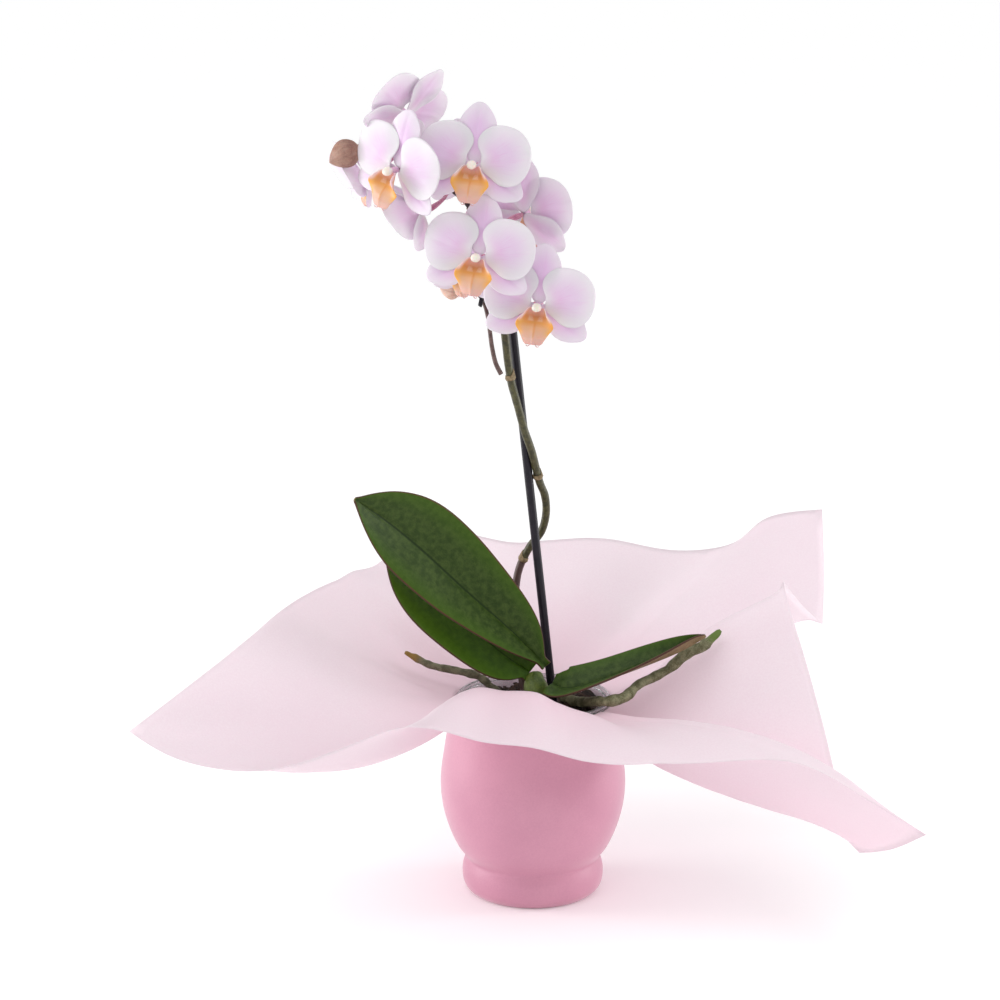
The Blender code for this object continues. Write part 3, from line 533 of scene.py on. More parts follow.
for name, midrib, halves, across, fold, widest, base_share, ends, wave, top in (
        ("leaf_upper", LEAF_UPPER, (0.0250, 0.0290), LEAF_ACROSS, ((30, 12), (30, 12)), 0.54, 0.14, 0.95,
         0.0008, LEAF_TOP),
        ("leaf_lower", LEAF_LOWER, (0.0245, 0.0245), LEAF_ACROSS, ((26, 14), (26, 14)), 0.47, 0.30, 0.75,
         0.0010, LEAF_BRIGHT),
        ("leaf_right", LEAF_RIGHT, (0.0165, 0.0140), (0.0, 0.90, 0.42), ((12, 74), (18, 48)), 0.33, 0.45,
         0.75, 0.0012, LEAF_TOP)):
    grown = grow_leaf(name + "_blade", midrib, halves, across, fold, widest, base_share, ends, wave, top)
    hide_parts(name)
    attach(grown, "root")

crown = turned("crown_stem", through(CROWN_OUTLINE, 5), 48)
crown.data.transform(Matrix.Translation(CROWN_PLACE))
for vertex in crown.data.vertices:                      # overlapping leaf bases
    turn = math.atan2(vertex.co.y - CROWN_PLACE.y, vertex.co.x - CROWN_PLACE.x)
    out = Vector((math.cos(turn), math.sin(turn), 0.0))
    vertex.co += out * 0.0013 * abs(math.sin(1.5 * turn + vertex.co.z * 190))
crown_green, shader = mottled_finish("crown_green", 0.45, 120.0, 1200.0, (0.050, 0.090, 0.010),
                                     (0.150, 0.210, 0.030), 0.3, 0.0006)
crown.data.materials.append(crown_green)
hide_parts("plant_crown")
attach(crown, "root")


# ---------------------------------------------------------------- the air roots
# Two thick roots that grow out over the rim and rest on the wrap. Their spongy grey skin is
# lumpy and lined, and the growing tips are bare green.

ROOT_RIGHT = ((17.7, 5, 117.1), (23.3, -5, 117.6), (29.6, -14, 119.7), (36.8, -25, 123.7),
              (42.9, -32, 125.8), (52.8, -31, 128.2), (60.6, -22, 132.6), (71.3, -16, 136.2),
              (80.2, -13, 140.8), (88.5, -12, 148.3), (99.5, -11, 153.6), (109, -8, 161.6))
ROOT_LEFT = ((-18, 10, 116.3), (-24, 11, 121), (-30, 12.5, 125.7), (-36, 14, 128.1),
             (-46.8, 16, 129.9), (-59.8, 18, 132.2), (-67.5, 19, 135.6), (-75.8, 20, 139.7))


def rod(name, path, radii, sides=6):
    """A round rod along a path, with one radius for each point: a bevelled curve turned into a mesh."""
    curve = bpy.data.curves.new(name, "CURVE")
    curve.dimensions = "3D"
    curve.bevel_depth = 1.0
    curve.bevel_resolution = sides
    curve.use_fill_caps = True
    line = curve.splines.new("POLY")
    line.points.add(len(path) - 1)
    for point, place, radius in zip(line.points, path, radii):
        point.co = (*place, 1.0)
        point.radius = radius
    made = bpy.data.objects.new(name, curve)
    bpy.context.scene.collection.objects.link(made)
    only(made)
    bpy.ops.object.convert(target="MESH")
    made = bpy.context.object
    bpy.ops.object.mode_set(mode="EDIT")
    bpy.ops.mesh.select_all(action="SELECT")
    bpy.ops.mesh.remove_doubles(threshold=1e-6)
    bpy.ops.mesh.normals_make_consistent(inside=False)
    bpy.ops.object.mode_set(mode="OBJECT")
    bpy.ops.object.shade_smooth()
    return made


def root_finish(name, tip, low, high, tip_colour):
    """Root skin, grey and lined, with another colour within a few millimetres of the tip."""
    material, tree, shader = new_finish(name, 0.75)
    mottled = place_mottle(tree, 260.0, 1500.0, low, high)
    spot = add(tree, "ShaderNodeTexCoord").outputs["Object"]
    away = tree.nodes.new("ShaderNodeVectorMath")
    away.operation = "DISTANCE"
    tree.links.new(spot, away.inputs[0])
    away.inputs[1].default_value = tip
    bare = calc(tree, "SUBTRACT", 1.0, step_up(tree, away.outputs["Value"], 0.006, 0.012))
    tree.links.new(blend(tree, bare, mottled["Colour"], tip_colour), shader.inputs["Base Color"])
    raise_grain(tree, shader, mottled["Height"], 0.8, 0.0008)
    return material


for name, route, radius, low, high, tip_colour in (
        ("root_right", ROOT_RIGHT, 0.0029,
         (0.105, 0.105, 0.045), (0.290, 0.285, 0.165), (0.120, 0.190, 0.035)),
        ("root_left", ROOT_LEFT, 0.0021,
         (0.110, 0.105, 0.060), (0.250, 0.240, 0.150), (0.300, 0.180, 0.040))):
    path = [p / 1000 for p in through(route, 8)]
    radii = []
    for k in range(len(path)):
        lump = 1.05 + 0.24 * noise.noise(Vector((k * 0.31, radius * 900, 0.4)))
        end = min((len(path) - 1 - k) / 7, 1.0)
        radii.append(radius * lump * (0.30 + 0.70 * math.sqrt(end)))
    root = rod(name + "_skin", path, radii)
    for vertex in root.data.vertices:
        vertex.co += vertex.normal * 0.00040 * noise.noise(vertex.co * 300)
    root.data.materials.append(root_finish(name + "_velamen", path[-1], low, high, tip_colour))
    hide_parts(name)
    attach(root, "root")


# ---------------------------------------------------------------- the stake and its clip
# A thin lacquered rod pushed into the bark, and a sprung plastic clip that holds the flower spike
# to it, with a flat curved tail to press.

STAKE_FOOT = Vector((0.0209, 0.0045, 0.0300))
STAKE_TOP = Vector((-0.0155, 0.0063, 0.3665))
STAKE_RADIUS = 0.0025
CLIP_HEIGHT = 0.3620

lacquer, shader = mottled_finish("dark_lacquer", 0.38, 160.0, 2200.0, (0.006, 0.005, 0.010),
                                 (0.014, 0.010, 0.018), 0.06, 0.0003)
shader.inputs["Specular IOR Level"].default_value = 0.30

stake_ends = [(0.0, 0.0006), (0.003, 0.0021), (0.012, STAKE_RADIUS), (0.5, STAKE_RADIUS),
              (0.990, STAKE_RADIUS), (0.998, 0.0022), (1.0, 0.0012)]
stake = rod("stake_rod", [STAKE_FOOT.lerp(STAKE_TOP, share) for share, radius in stake_ends],
            [radius for share, radius in stake_ends], 8)
stake.data.materials.append(lacquer)
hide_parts("support_stake")
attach(stake, "root")


# ---------------------------------------------------------------- the flower spike
# One long arching stem from the crown, olive below and nearly black among the flowers, with a
# papery bract round each joint, and a short side branch from an upper joint.

SPIKE = ((-4.2, 8.4, 115.1), (-9, 14, 140), (-11, 20, 165), (-8.9, 22, 187.9), (-2.4, 21, 203.5),
         (4.6, 19, 213.7), (7.4, 16, 225.4), (6.7, 12, 237.2), (3.2, 8, 247.5), (-1, 2, 265.6),
         (-5.1, -2, 278.4), (-8, -3.5, 289.4), (-10.9, -4, 300.2), (-13.2, -4, 309),
         (-14.9, -4, 320.1), (-16.6, -3.2, 335), (-18.4, -2, 347),
         (-20.6, 0, 356.4), (-23.5, 4, 371.9), (-26.9, 8, 385.6), (-32, 10, 398.5), (-38.3, 10, 409.4),
         (-47.9, 10, 418), (-62.6, 8, 429.7), (-71.5, 6, 439.1), (-80.5, 4, 443.3), (-88, 2, 444.7))
BRANCH = ((-18.9, -6.5, 313.5), (-22, -6.5, 320), (-24, -6, 328.8), (-25.2, -5, 337.5),
          (-26.4, -2.5, 345.5), (-28.5, 2, 352.5), (-32.5, 6.5, 358), (-38.6, 9, 359.9))
SPIKE_JOINTS = (21, 49, 79, 102, 124)     # which points of the spike's path carry a bract
SPIKE_ROOT_RADIUS = 0.0023
SPIKE_TIP_RADIUS = 0.0011

spike_path = [p / 1000 for p in through(SPIKE, 6)]
spike_radii = []
for k in range(len(spike_path)):
    share = k / (len(spike_path) - 1)
    thin = SPIKE_ROOT_RADIUS + (SPIKE_TIP_RADIUS - SPIKE_ROOT_RADIUS) * max(0.0, share - 0.62) / 0.38
    spike_radii.append(thin * (1 + 0.05 * noise.noise(Vector((k * 0.3, 2.0, 0.0)))))
spike = rod("spike_stem", spike_path, spike_radii, 7)


def stem_finish(name, low, high, dark, dark_from, dark_to):
    """Stem skin: speckled, darker above one height, and mauve-brown below the lowest joint."""
    material, tree, shader = new_finish(name, 0.42)
    mottled = place_mottle(tree, 420.0, 2600.0, low, high)
    height = add(tree, "ShaderNodeSeparateXYZ", Vector=add(tree, "ShaderNodeTexCoord").outputs["Object"])
    share = step_up(tree, height.outputs["Z"], dark_from, dark_to)
    lowest = step_up(tree, height.outputs["Z"], 0.194, 0.198)
    colour = blend(tree, lowest, (0.090, 0.050, 0.045), mottled["Colour"])
    tree.links.new(blend(tree, share, colour, dark), shader.inputs["Base Color"])
    raise_grain(tree, shader, mottled["Height"], 0.25, 0.0004)
    return material


spike.data.materials.append(stem_finish("spike_skin", (0.030, 0.028, 0.010), (0.095, 0.088, 0.030),
                                        (0.030, 0.012, 0.014), 0.345, 0.400))
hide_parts("flower_spike")
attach(spike, "root")

branch_path = [p / 1000 for p in through(BRANCH, 6)]
branch_radii = [0.0014 - 0.0004 * k / len(branch_path) for k in range(len(branch_path))]
branch = rod("branch_stem", branch_path, branch_radii)
branch.data.materials.append(stem_finish("branch_skin", (0.075, 0.040, 0.036), (0.170, 0.105, 0.095),
                                         (0.100, 0.050, 0.050), 0.345, 0.362))
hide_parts("side_branch")
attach(branch, "root")

bract_skin, shader = mottled_finish("bract_papery", 0.7, 500.0, 2600.0, (0.160, 0.110, 0.055),
                                    (0.360, 0.270, 0.150), 0.5, 0.0005)


def bract(name, k):
    """A papery collar round the spike at one of its joints, drawn up to a point on one side."""
    foot, ahead = spike_path[k], spike_path[k + 2]
    along = (ahead - foot).normalized()
    collar = turned(name, [(1.00, -1.0), (1.22, 0.0), (1.16, 1.6), (1.10, 3.6), (1.04, 5.2)], 28)
    for vertex in collar.data.vertices:
        turn = math.atan2(vertex.co.y, vertex.co.x)
        lift = max(vertex.co.z - 0.0004, 0.0)
        vertex.co.z = min(vertex.co.z, 0.0004) + lift * (0.30 + 0.70 * max(math.cos(turn), 0.0) ** 2)
        vertex.co.x *= spike_radii[k] / 0.001
        vertex.co.y *= spike_radii[k] / 0.001
    skin = collar.modifiers.new("skin", "SOLIDIFY")
    skin.thickness = 0.0003
    skin.offset = 1.0
    apply_all(collar)
    collar.data.transform(Matrix.Translation(foot) @ along.to_track_quat("Z", "X").to_matrix().to_4x4())
    collar.data.materials.append(bract_skin)
    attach(collar, "root")


for number, k in enumerate(SPIKE_JOINTS):
    bract(f"spike_bract_{number + 1}", k)

stake_there = STAKE_FOOT.lerp(STAKE_TOP, (CLIP_HEIGHT - STAKE_FOOT.z) / (STAKE_TOP.z - STAKE_FOOT.z))
held = min(spike_path, key=lambda p: abs(p.z - CLIP_HEIGHT))
middle = (stake_there + held) / 2
loop = (stake_there - held).length / 2 + SPIKE_ROOT_RADIUS + 0.0018
ring = []
for k in range(33):
    a = math.radians(205 + 310 * k / 32)
    ring.append(middle + Vector((math.cos(a), math.sin(a), 0.0)) * loop)
tail = through([ring[0] + Vector(step) for step in ((-0.0052, -0.0034, -0.0060), (-0.0040, -0.0020, -0.0030),
                                                    (-0.0018, -0.0006, -0.0006), (0.0, 0.0, 0.0))], 4)
clip = rod("clip_spring", tail[:-1] + ring, [0.0012] * (len(tail) - 1 + len(ring)), 5)
for vertex in clip.data.vertices:                       # flat like a strip, not a wire
    vertex.co.z = CLIP_HEIGHT + (vertex.co.z - CLIP_HEIGHT) * 1.5
clip.data.materials.append(lacquer)
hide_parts("stem_clip")
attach(clip, "root")


# ---------------------------------------------------------------- the buds
# Closed flowers: one brown and ribbed at the spike's tip, one small and peach-coloured at the end
# of the side branch. Each is three sepals pressed together round a short stalk.

def bud(name, node, foot, axis, length, radius, low, high):
    """A bud from its stalk end at foot, along axis: a pointed oval with three seams and fine ribs."""
    oval = [(0, 0.2)] + [(radius * math.sin(math.pi * (k / 14) ** 0.85) ** 0.75, length * k / 14)
                         for k in range(1, 14)] + [(0, length)]
    made = turned(name, through(oval, 3), 72)
    for vertex in made.data.vertices:
        turn = math.atan2(vertex.co.y, vertex.co.x)
        seam = -0.12 * abs(math.cos(1.5 * turn)) ** 16
        rib = 0.030 * math.sin(21 * turn)
        swell = 1 + seam + rib + 0.03 * math.cos(2 * turn)
        vertex.co.x *= swell
        vertex.co.y *= swell
    turn_to = Vector(axis).normalized().to_track_quat("Z", "Y").to_matrix().to_4x4()
    made.data.transform(Matrix.Translation(Vector(foot) / 1000) @ turn_to)
    skin, shader = mottled_finish(name + "_skin", 0.55, 160.0, 1600.0, low, high, 0.3, 0.0005)
    shader.inputs["Subsurface Weight"].default_value = 0.15
    shader.inputs["Subsurface Scale"].default_value = 0.002
    made.data.materials.append(skin)
    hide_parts(node)
    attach(made, "root")


bud("bud_tip_shell", "bud_tip", (-98.8, 0, 443.5), (-0.83, -0.20, -0.46), 19.5, 8.2,
    (0.250, 0.125, 0.095), (0.430, 0.250, 0.190))
bud("bud_small_shell", "bud_small", (-41.8, 8.5, 360.2), (-0.93, -0.30, 0.05), 12.5, 6.2,
    (0.600, 0.360, 0.280), (0.780, 0.540, 0.440))
bud_stalk_path = through(((-88.2, 2, 444.7), (-93.5, 1.6, 445.8), (-99.2, -0.1, 443.3)), 6)
bud_stalk = rod("bud_stalk", [p / 1000 for p in bud_stalk_path], [0.0010] * len(bud_stalk_path), 4)
bud_stalk.data.materials.append(bract_skin)
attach(bud_stalk, "root")


# ---------------------------------------------------------------- the flowers
# Ten flowers of one kind. Three fleshy sepals stand behind two broad round petals, and in the
# middle a white-capped column stands over an orange lip whose side lobes curl up round it. A pink
# stalk joins each flower to the spike. All of one flower grows as a single living thing.

FLOWER_LETTERS = "abcdefghij"
PETAL_SPAN = 30.986         # millimetres between the middles of a full-size CAD flower's petals
PETAL_MIDDLE = (3.286, 2.574)       # how far above and in front of its heart they lie
LIP_FROM_PETALS = (-9.036, 4.140)   # and the lip's middle, above and in front of theirs
BLADE_THICKNESS = 0.00045

# Outlines: radii in millimetres every 30 degrees round a middle, the first one straight out.
PETAL_SHAPE = ((16.5, 5.5), (15.2, 16.0, 17.0, 17.6, 18.6, 17.6, 12.6, 13.8, 13.4, 15.6, 16.6, 15.8))
SEPAL_SHAPE = ((18.5, 0.0), (16.5, 13.6, 11.8, 10.8, 10.6, 12.2, 17.6, 12.2, 10.6, 10.8, 11.8, 13.6))
# How each flower differs: how far its blades bend forward, and a number that sets its small ripples.
FLOWER_BEND = {"a": 0.0010, "b": -0.0010, "c": -0.0016, "d": -0.0012, "e": -0.0014, "f": -0.0018,
               "g": 0.0150, "h": 0.0150, "i": 0.0090, "j": -0.0010}


def flower_blade(name, shape, axis_angle, dish, groove):
    """A petal or sepal as an open sheet, pointing along X, with its root at the origin. Its UV map runs
    out from the root (X) and round it like a fan (Y). Its margin attribute is 0 inside and 1 at the edge."""
    middle, radii = shape
    outline = [p.x for p in through([(r, 0, 0) for r in radii], 12, closed=True)]
    grid = new_grid(name, 28, 28)
    margin = grid.data.attributes.new("margin", "FLOAT", "POINT")
    aim = Vector((math.cos(math.radians(axis_angle)), math.sin(math.radians(axis_angle))))
    fan = []
    for vertex in grid.data.vertices:
        a, b = vertex.co.x, vertex.co.y
        x, y = a * math.sqrt(1 - b * b / 2), b * math.sqrt(1 - a * a / 2)
        out = min(math.hypot(x, y), 1.0)
        turn = math.atan2(y, x) % math.tau
        at = turn / math.tau * len(outline)
        k = int(at)
        before, after = outline[k % len(outline)], outline[(k + 1) % len(outline)]
        reach = (before + (after - before) * (at - k)) * out
        flat = Vector((middle[0] + reach * math.cos(turn), middle[1] + reach * math.sin(turn)))
        off_axis = flat.x * aim.y - flat.y * aim.x
        z = dish * (1 - out ** 2) - groove * math.exp(-(off_axis / 1.3) ** 2) * (1 - out ** 4)
        z += 0.45 * math.sin(3 * turn + middle[0]) * out ** 3
        margin.data[vertex.index].value = out
        round_root = math.atan2(flat.y * aim.x - flat.x * aim.y, flat.dot(aim))
        fan.append((flat.length / 38, 0.5 + round_root / math.pi))
        vertex.co = Vector((flat.x, flat.y, z)) / 1000
    for corner in grid.data.loops:
        grid.data.uv_layers["UVMap"].data[corner.index].uv = fan[corner.vertex_index]
    return grid


def close_blade(obj, thickness):
    """Gives an open sheet its thickness, with the sheet's second material, if it has one, on its back."""
    blade = obj.modifiers.new("blade", "SOLIDIFY")
    blade.thickness = thickness
    blade.offset = 0.0
    blade.material_offset = 1
    apply_all(obj)


def join(name, objects):
    only(objects[0])
    for obj in objects:
        obj.select_set(True)
    bpy.ops.object.join()
    bpy.context.object.name = name
    return bpy.context.object


def petal_group():
    """Petal colour: a deeper heart, a pale blade and a paler margin, with fine veins fanning out."""
    group = bpy.data.node_groups.new("petal", "ShaderNodeTree")
    for name in ("Out", "Fan", "Margin"):
        group.interface.new_socket(name, in_out="INPUT", socket_type="NodeSocketFloat")
    for name in ("Heart", "Blade", "Edge"):
        group.interface.new_socket(name, in_out="INPUT", socket_type="NodeSocketColor")
    group.interface.new_socket("Colour", in_out="OUTPUT", socket_type="NodeSocketColor")
    group.interface.new_socket("Height", in_out="OUTPUT", socket_type="NodeSocketFloat")
    given = group.nodes.new("NodeGroupInput").outputs
    place = add(group, "ShaderNodeCombineXYZ", X=calc(group, "MULTIPLY", given["Out"], 2.2),
                Y=calc(group, "MULTIPLY", given["Fan"], 58.0))
    veins = add(group, "ShaderNodeTexNoise", Vector=place.outputs["Vector"], Scale=1.0, Detail=3.0,
                Roughness=0.6)
    colour = blend(group, step_up(group, given["Out"], -0.02, 0.50), given["Heart"], given["Blade"])
    colour = blend(group, calc(group, "MULTIPLY", step_up(group, veins.outputs["Fac"], 0.48, 0.72), 0.28),
                   colour, given["Heart"])
    colour = blend(group, step_up(group, given["Margin"], 0.20, 1.00), colour, given["Edge"])
    result = group.nodes.new("NodeGroupOutput")
    group.links.new(colour, result.inputs["Colour"])
    group.links.new(veins.outputs["Fac"], result.inputs["Height"])
    return group


PETAL_COLOURS = petal_group()


def petal_finish(name, heart, blade, edge):
    material, tree, shader = new_finish(name, 0.52)
    uv = add(tree, "ShaderNodeSeparateXYZ", Vector=add(tree, "ShaderNodeUVMap").outputs["UV"]).outputs
    margin = tree.nodes.new("ShaderNodeAttribute")
    margin.attribute_name = "margin"
    made = tree.nodes.new("ShaderNodeGroup")
    made.node_tree = PETAL_COLOURS
    tree.links.new(uv["X"], made.inputs["Out"])
    tree.links.new(uv["Y"], made.inputs["Fan"])
    tree.links.new(margin.outputs["Fac"], made.inputs["Margin"])
    for socket, colour in (("Heart", heart), ("Blade", blade), ("Edge", edge)):
        made.inputs[socket].default_value = (*colour, 1.0)
    tree.links.new(made.outputs["Colour"], shader.inputs["Base Color"])
    raise_grain(tree, shader, made.outputs["Height"], 0.25, 0.0004)
    shader.inputs["Subsurface Weight"].default_value = 0.30
    shader.inputs["Subsurface Radius"].default_value = (1.0, 0.60, 0.90)
    shader.inputs["Subsurface Scale"].default_value = 0.003
    shader.inputs["Sheen Weight"].default_value = 0.10
    return material


PETAL_SKIN = petal_finish("petal_lilac", (0.720, 0.300, 0.640), (0.730, 0.560, 0.745),
                          (0.770, 0.720, 0.775))
SEPAL_SKIN = petal_finish("sepal_lilac", (0.690, 0.330, 0.640), (0.710, 0.505, 0.725),
                          (0.755, 0.670, 0.765))
BACK_SKIN = petal_finish("petal_back", (0.740, 0.330, 0.620), (0.760, 0.580, 0.755),
                         (0.790, 0.735, 0.795))

# the lip: its length (millimetres down from under the column), how far forward its middle stands, half the
# width of the sheet measured round its curl, and how far it curls up, in degrees, at shares of the way down
LIP_DOWN = ((0.0, -1.6), (0.12, -3.4), (0.25, -5.6), (0.38, -8.4), (0.50, -11.2), (0.62, -13.8),
            (0.80, -17.4), (0.93, -20.0), (1.0, -21.2))
LIP_FORWARD = ((0.0, 2.6), (0.12, 3.0), (0.25, 3.8), (0.38, 5.4), (0.50, 7.2), (0.62, 8.6),
               (0.80, 9.4), (0.93, 8.8), (1.0, 8.1))
LIP_HALF = ((0.0, 4.6), (0.12, 8.4), (0.25, 10.8), (0.38, 11.6), (0.50, 10.8), (0.62, 9.0),
            (0.80, 7.0), (0.93, 5.6), (1.0, 4.2))
LIP_CURL = ((0.0, 62), (0.12, 92), (0.25, 96), (0.38, 62), (0.50, 10), (0.62, -16), (0.80, -26),
            (0.93, -24), (1.0, -16))


def at_share(rows, share):
    """The value at a share of the way along rows of (share, value), eased between them."""
    for (low, first), (high, second) in zip(rows, rows[1:]):
        if share <= high:
            f = (share - low) / (high - low)
            return first + (second - first) * f * f * (3 - 2 * f) * 0.35 + (second - first) * f * 0.65
    return rows[-1][1]


def model_lip():
    """The lip as one curled sheet, with a raised callus in its throat and two small tails at its tip."""
    grid = new_grid("lip", 44, 30)
    for vertex in grid.data.vertices:
        s, c = (vertex.co.x + 1) / 2, vertex.co.y
        half, curl = at_share(LIP_HALF, s), math.radians(at_share(LIP_CURL, s))
        curl = curl if abs(curl) > 0.02 else 0.02
        bow = half / curl
        x = bow * math.sin(curl * c)
        z = at_share(LIP_FORWARD, s) + bow * (1 - math.cos(curl * c))
        y = at_share(LIP_DOWN, s) + 2.2 * max(curl, 0.0) / 1.7 * c ** 2
        keel = 0.55 * math.exp(-(c / 0.12) ** 2) * max(0.0, min((s - 0.40) / 0.15, 1.0))
        callus = 0.7 * math.exp(-((s - 0.31) / 0.055) ** 2 - ((abs(c) - 0.24) / 0.12) ** 2)
        vertex.co = Vector((x, y, z + keel + callus)) / 1000
    if max(grid.data.polygons, key=lambda f: f.center.z).normal.z < 0:
        grid.data.flip_normals()
    close_blade(grid, BLADE_THICKNESS)
    grid.data.materials.append(LIP_SKIN)
    tails = [grid]
    for side in (-1, 1):
        hair = through(((side * 1.6, -20.8, 8.2), (side * 2.0, -21.9, 7.6), (side * 2.8, -22.4, 7.6),
                        (side * 3.5, -22.0, 8.3), (side * 3.4, -21.3, 8.8)), 5)
        thin = [0.00038 - 0.00026 * k / len(hair) for k in range(len(hair))]
        tails.append(rod("lip_tail", [p / 1000 for p in hair], thin, 2))
        tails[-1].data.materials.append(LIP_TAIL)
        spread = tails[-1].data.uv_layers
        if not spread:
            spread.new(name="UVMap")
    return join("lip", tails)


LIP_SKIN, tree, shader = new_finish("lip_orange", 0.45)
uv = add(tree, "ShaderNodeSeparateXYZ", Vector=add(tree, "ShaderNodeUVMap").outputs["UV"]).outputs
down = tree.nodes.new("ShaderNodeValToRGB")
stops = ((0.0, (0.76, 0.42, 0.48)), (0.14, (0.74, 0.40, 0.30)), (0.28, (0.60, 0.26, 0.09)),
         (0.42, (0.70, 0.33, 0.08)), (0.52, (0.72, 0.41, 0.22)),
         (0.78, (0.70, 0.43, 0.33)), (1.0, (0.72, 0.42, 0.37)))
while len(down.color_ramp.elements) < len(stops):
    down.color_ramp.elements.new(0.5)
for element, (place, colour) in zip(down.color_ramp.elements, stops):
    element.position = place
    element.color = (*colour, 1.0)
tree.links.new(uv["X"], down.inputs["Fac"])
across = calc(tree, "ABSOLUTE", calc(tree, "SUBTRACT", calc(tree, "MULTIPLY", uv["Y"], 2.0), 1.0))
throat = calc(tree, "SUBTRACT", 1.0, step_up(tree, uv["X"], 0.30, 0.44))
shoulder = calc(tree, "MULTIPLY", step_up(tree, across, 0.55, 1.0),
                calc(tree, "SUBTRACT", 1.0, step_up(tree, uv["X"], 0.60, 0.80)))
stripe = calc(tree, "MULTIPLY", calc(tree, "SUBTRACT", 1.0, step_up(tree, across, 0.01, 0.10)),
              calc(tree, "SUBTRACT", step_up(tree, uv["X"], 0.36, 0.44), step_up(tree, uv["X"], 0.66, 0.90)))
speck = add(tree, "ShaderNodeTexNoise", Vector=add(tree, "ShaderNodeCombineXYZ", X=calc(
    tree, "MULTIPLY", uv["X"], 60.0), Y=calc(tree, "MULTIPLY", uv["Y"], 60.0)).outputs["Vector"], Scale=2.2)
wedge = calc(tree, "MULTIPLY", calc(tree, "SUBTRACT", 0.40, uv["X"]), 0.9)
callus = calc(tree, "MULTIPLY", calc(tree, "SUBTRACT", step_up(tree, uv["X"], 0.23, 0.28),
                                     step_up(tree, uv["X"], 0.35, 0.38)),
              calc(tree, "SUBTRACT", step_up(tree, calc(tree, "SUBTRACT", across, wedge), 0.03, 0.08),
                   step_up(tree, across, 0.34, 0.44)))
callus = calc(tree, "MULTIPLY", calc(tree, "MULTIPLY", callus, 0.45),
              step_up(tree, speck.outputs["Fac"], 0.42, 0.60))
colour = blend(tree, calc(tree, "MULTIPLY", shoulder, 0.85), down.outputs["Color"], (0.88, 0.42, 0.05))
colour = blend(tree, calc(tree, "MULTIPLY", stripe, 0.50), colour, (0.66, 0.24, 0.03))
colour = blend(tree, callus, colour, (0.86, 0.76, 0.72))
colour = blend(tree, calc(tree, "MULTIPLY", throat, step_up(tree, across, 0.66, 0.94)), colour,
               (0.84, 0.64, 0.64))
tree.links.new(colour, shader.inputs["Base Color"])
raise_grain(tree, shader, speck.outputs["Fac"], 0.15, 0.0003)
shader.inputs["Subsurface Weight"].default_value = 0.20
shader.inputs["Subsurface Scale"].default_value = 0.002
LIP_TAIL, tree, shader = new_finish("lip_tail_pink", 0.5)
mottled = place_mottle(tree, 300.0, 2000.0, (0.60, 0.34, 0.36), (0.78, 0.52, 0.50))
tree.links.new(mottled["Colour"], shader.inputs["Base Color"])


def model_column():
    """The column: a short pink neck and a rounded white cap that overhangs it."""
    made = turned("column", through(((0, -0.4), (1.5, -0.4), (1.9, 0.6), (1.75, 2.6), (1.7, 4.6), (2.1, 5.6),
                                     (2.65, 6.6), (2.75, 7.8), (2.3, 9.2), (1.2, 10.1), (0, 10.3)), 3), 28)
    cap = made.data.attributes.new("cap", "FLOAT", "POINT")
    for vertex in made.data.vertices:
        cap.data[vertex.index].value = min(max((vertex.co.z - 0.0044) / 0.0012, 0.0), 1.0)
        if vertex.co.y < 0:                 # hollow beneath, over the throat
            vertex.co.y *= 0.82
        vertex.co.y -= vertex.co.z ** 2 * 6.0
    made.data.materials.append(COLUMN_SKIN)
    return made


COLUMN_SKIN, tree, shader = new_finish("column_white", 0.35)
cap = tree.nodes.new("ShaderNodeAttribute")
cap.attribute_name = "cap"
mottled = place_mottle(tree, 500.0, 2500.0, (0.640, 0.360, 0.560), (0.760, 0.520, 0.680))
colour = blend(tree, cap.outputs["Fac"], mottled["Colour"], (0.840, 0.780, 0.700))
tree.links.new(colour, shader.inputs["Base Color"])
raise_grain(tree, shader, mottled["Height"], 0.12, 0.0003)
shader.inputs["Subsurface Weight"].default_value = 0.25
shader.inputs["Subsurface Scale"].default_value = 0.002

petal_model = flower_blade("petal", PETAL_SHAPE, 14.0, 1.3, 0.30)
petal_model.data.transform(Matrix.Translation((0.0, 0.0, 0.0011)))
left_model = petal_model.copy()
left_model.data = petal_model.data.copy()
bpy.context.scene.collection.objects.link(left_model)
left_model.data.transform(Matrix.Scale(-1.0, 4, (1, 0, 0)))
left_model.data.flip_normals()
sepal_models = []
for angle, length, width in ((90, 1.0, 1.0), (209, 0.93, 0.86), (331, 0.93, 0.86)):
    sepal = flower_blade("sepal", SEPAL_SHAPE, 0.0, 1.0, 0.40)
    turn = Matrix.Rotation(math.radians(angle), 4, "Z")
    sized = Matrix.Diagonal((length, width, 1.0, 1.0))
    sepal.data.transform(Matrix.Translation((0.0, 0.0, -0.0012)) @ turn @ sized)
    sepal_models.append(sepal)
sepals_model = join("sepals", sepal_models)
for model, skin in ((petal_model, PETAL_SKIN), (left_model, PETAL_SKIN), (sepals_model, SEPAL_SKIN)):
    model.data.materials.append(skin)
    model.data.materials.append(BACK_SKIN)
    close_blade(model, BLADE_THICKNESS)
lip_model = model_lip()
column_model = model_column()

stalk_skin, shader = mottled_finish("stalk_pink", 0.42, 240.0, 1800.0, (0.470, 0.150, 0.270),
                                    (0.720, 0.380, 0.480), 0.2, 0.0004)
shader.inputs["Subsurface Weight"].default_value = 0.2
shader.inputs["Subsurface Scale"].default_value = 0.002


def middle_of(node):
    points = [v.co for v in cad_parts[node].data.vertices]
    return sum(points, Vector()) / len(points)


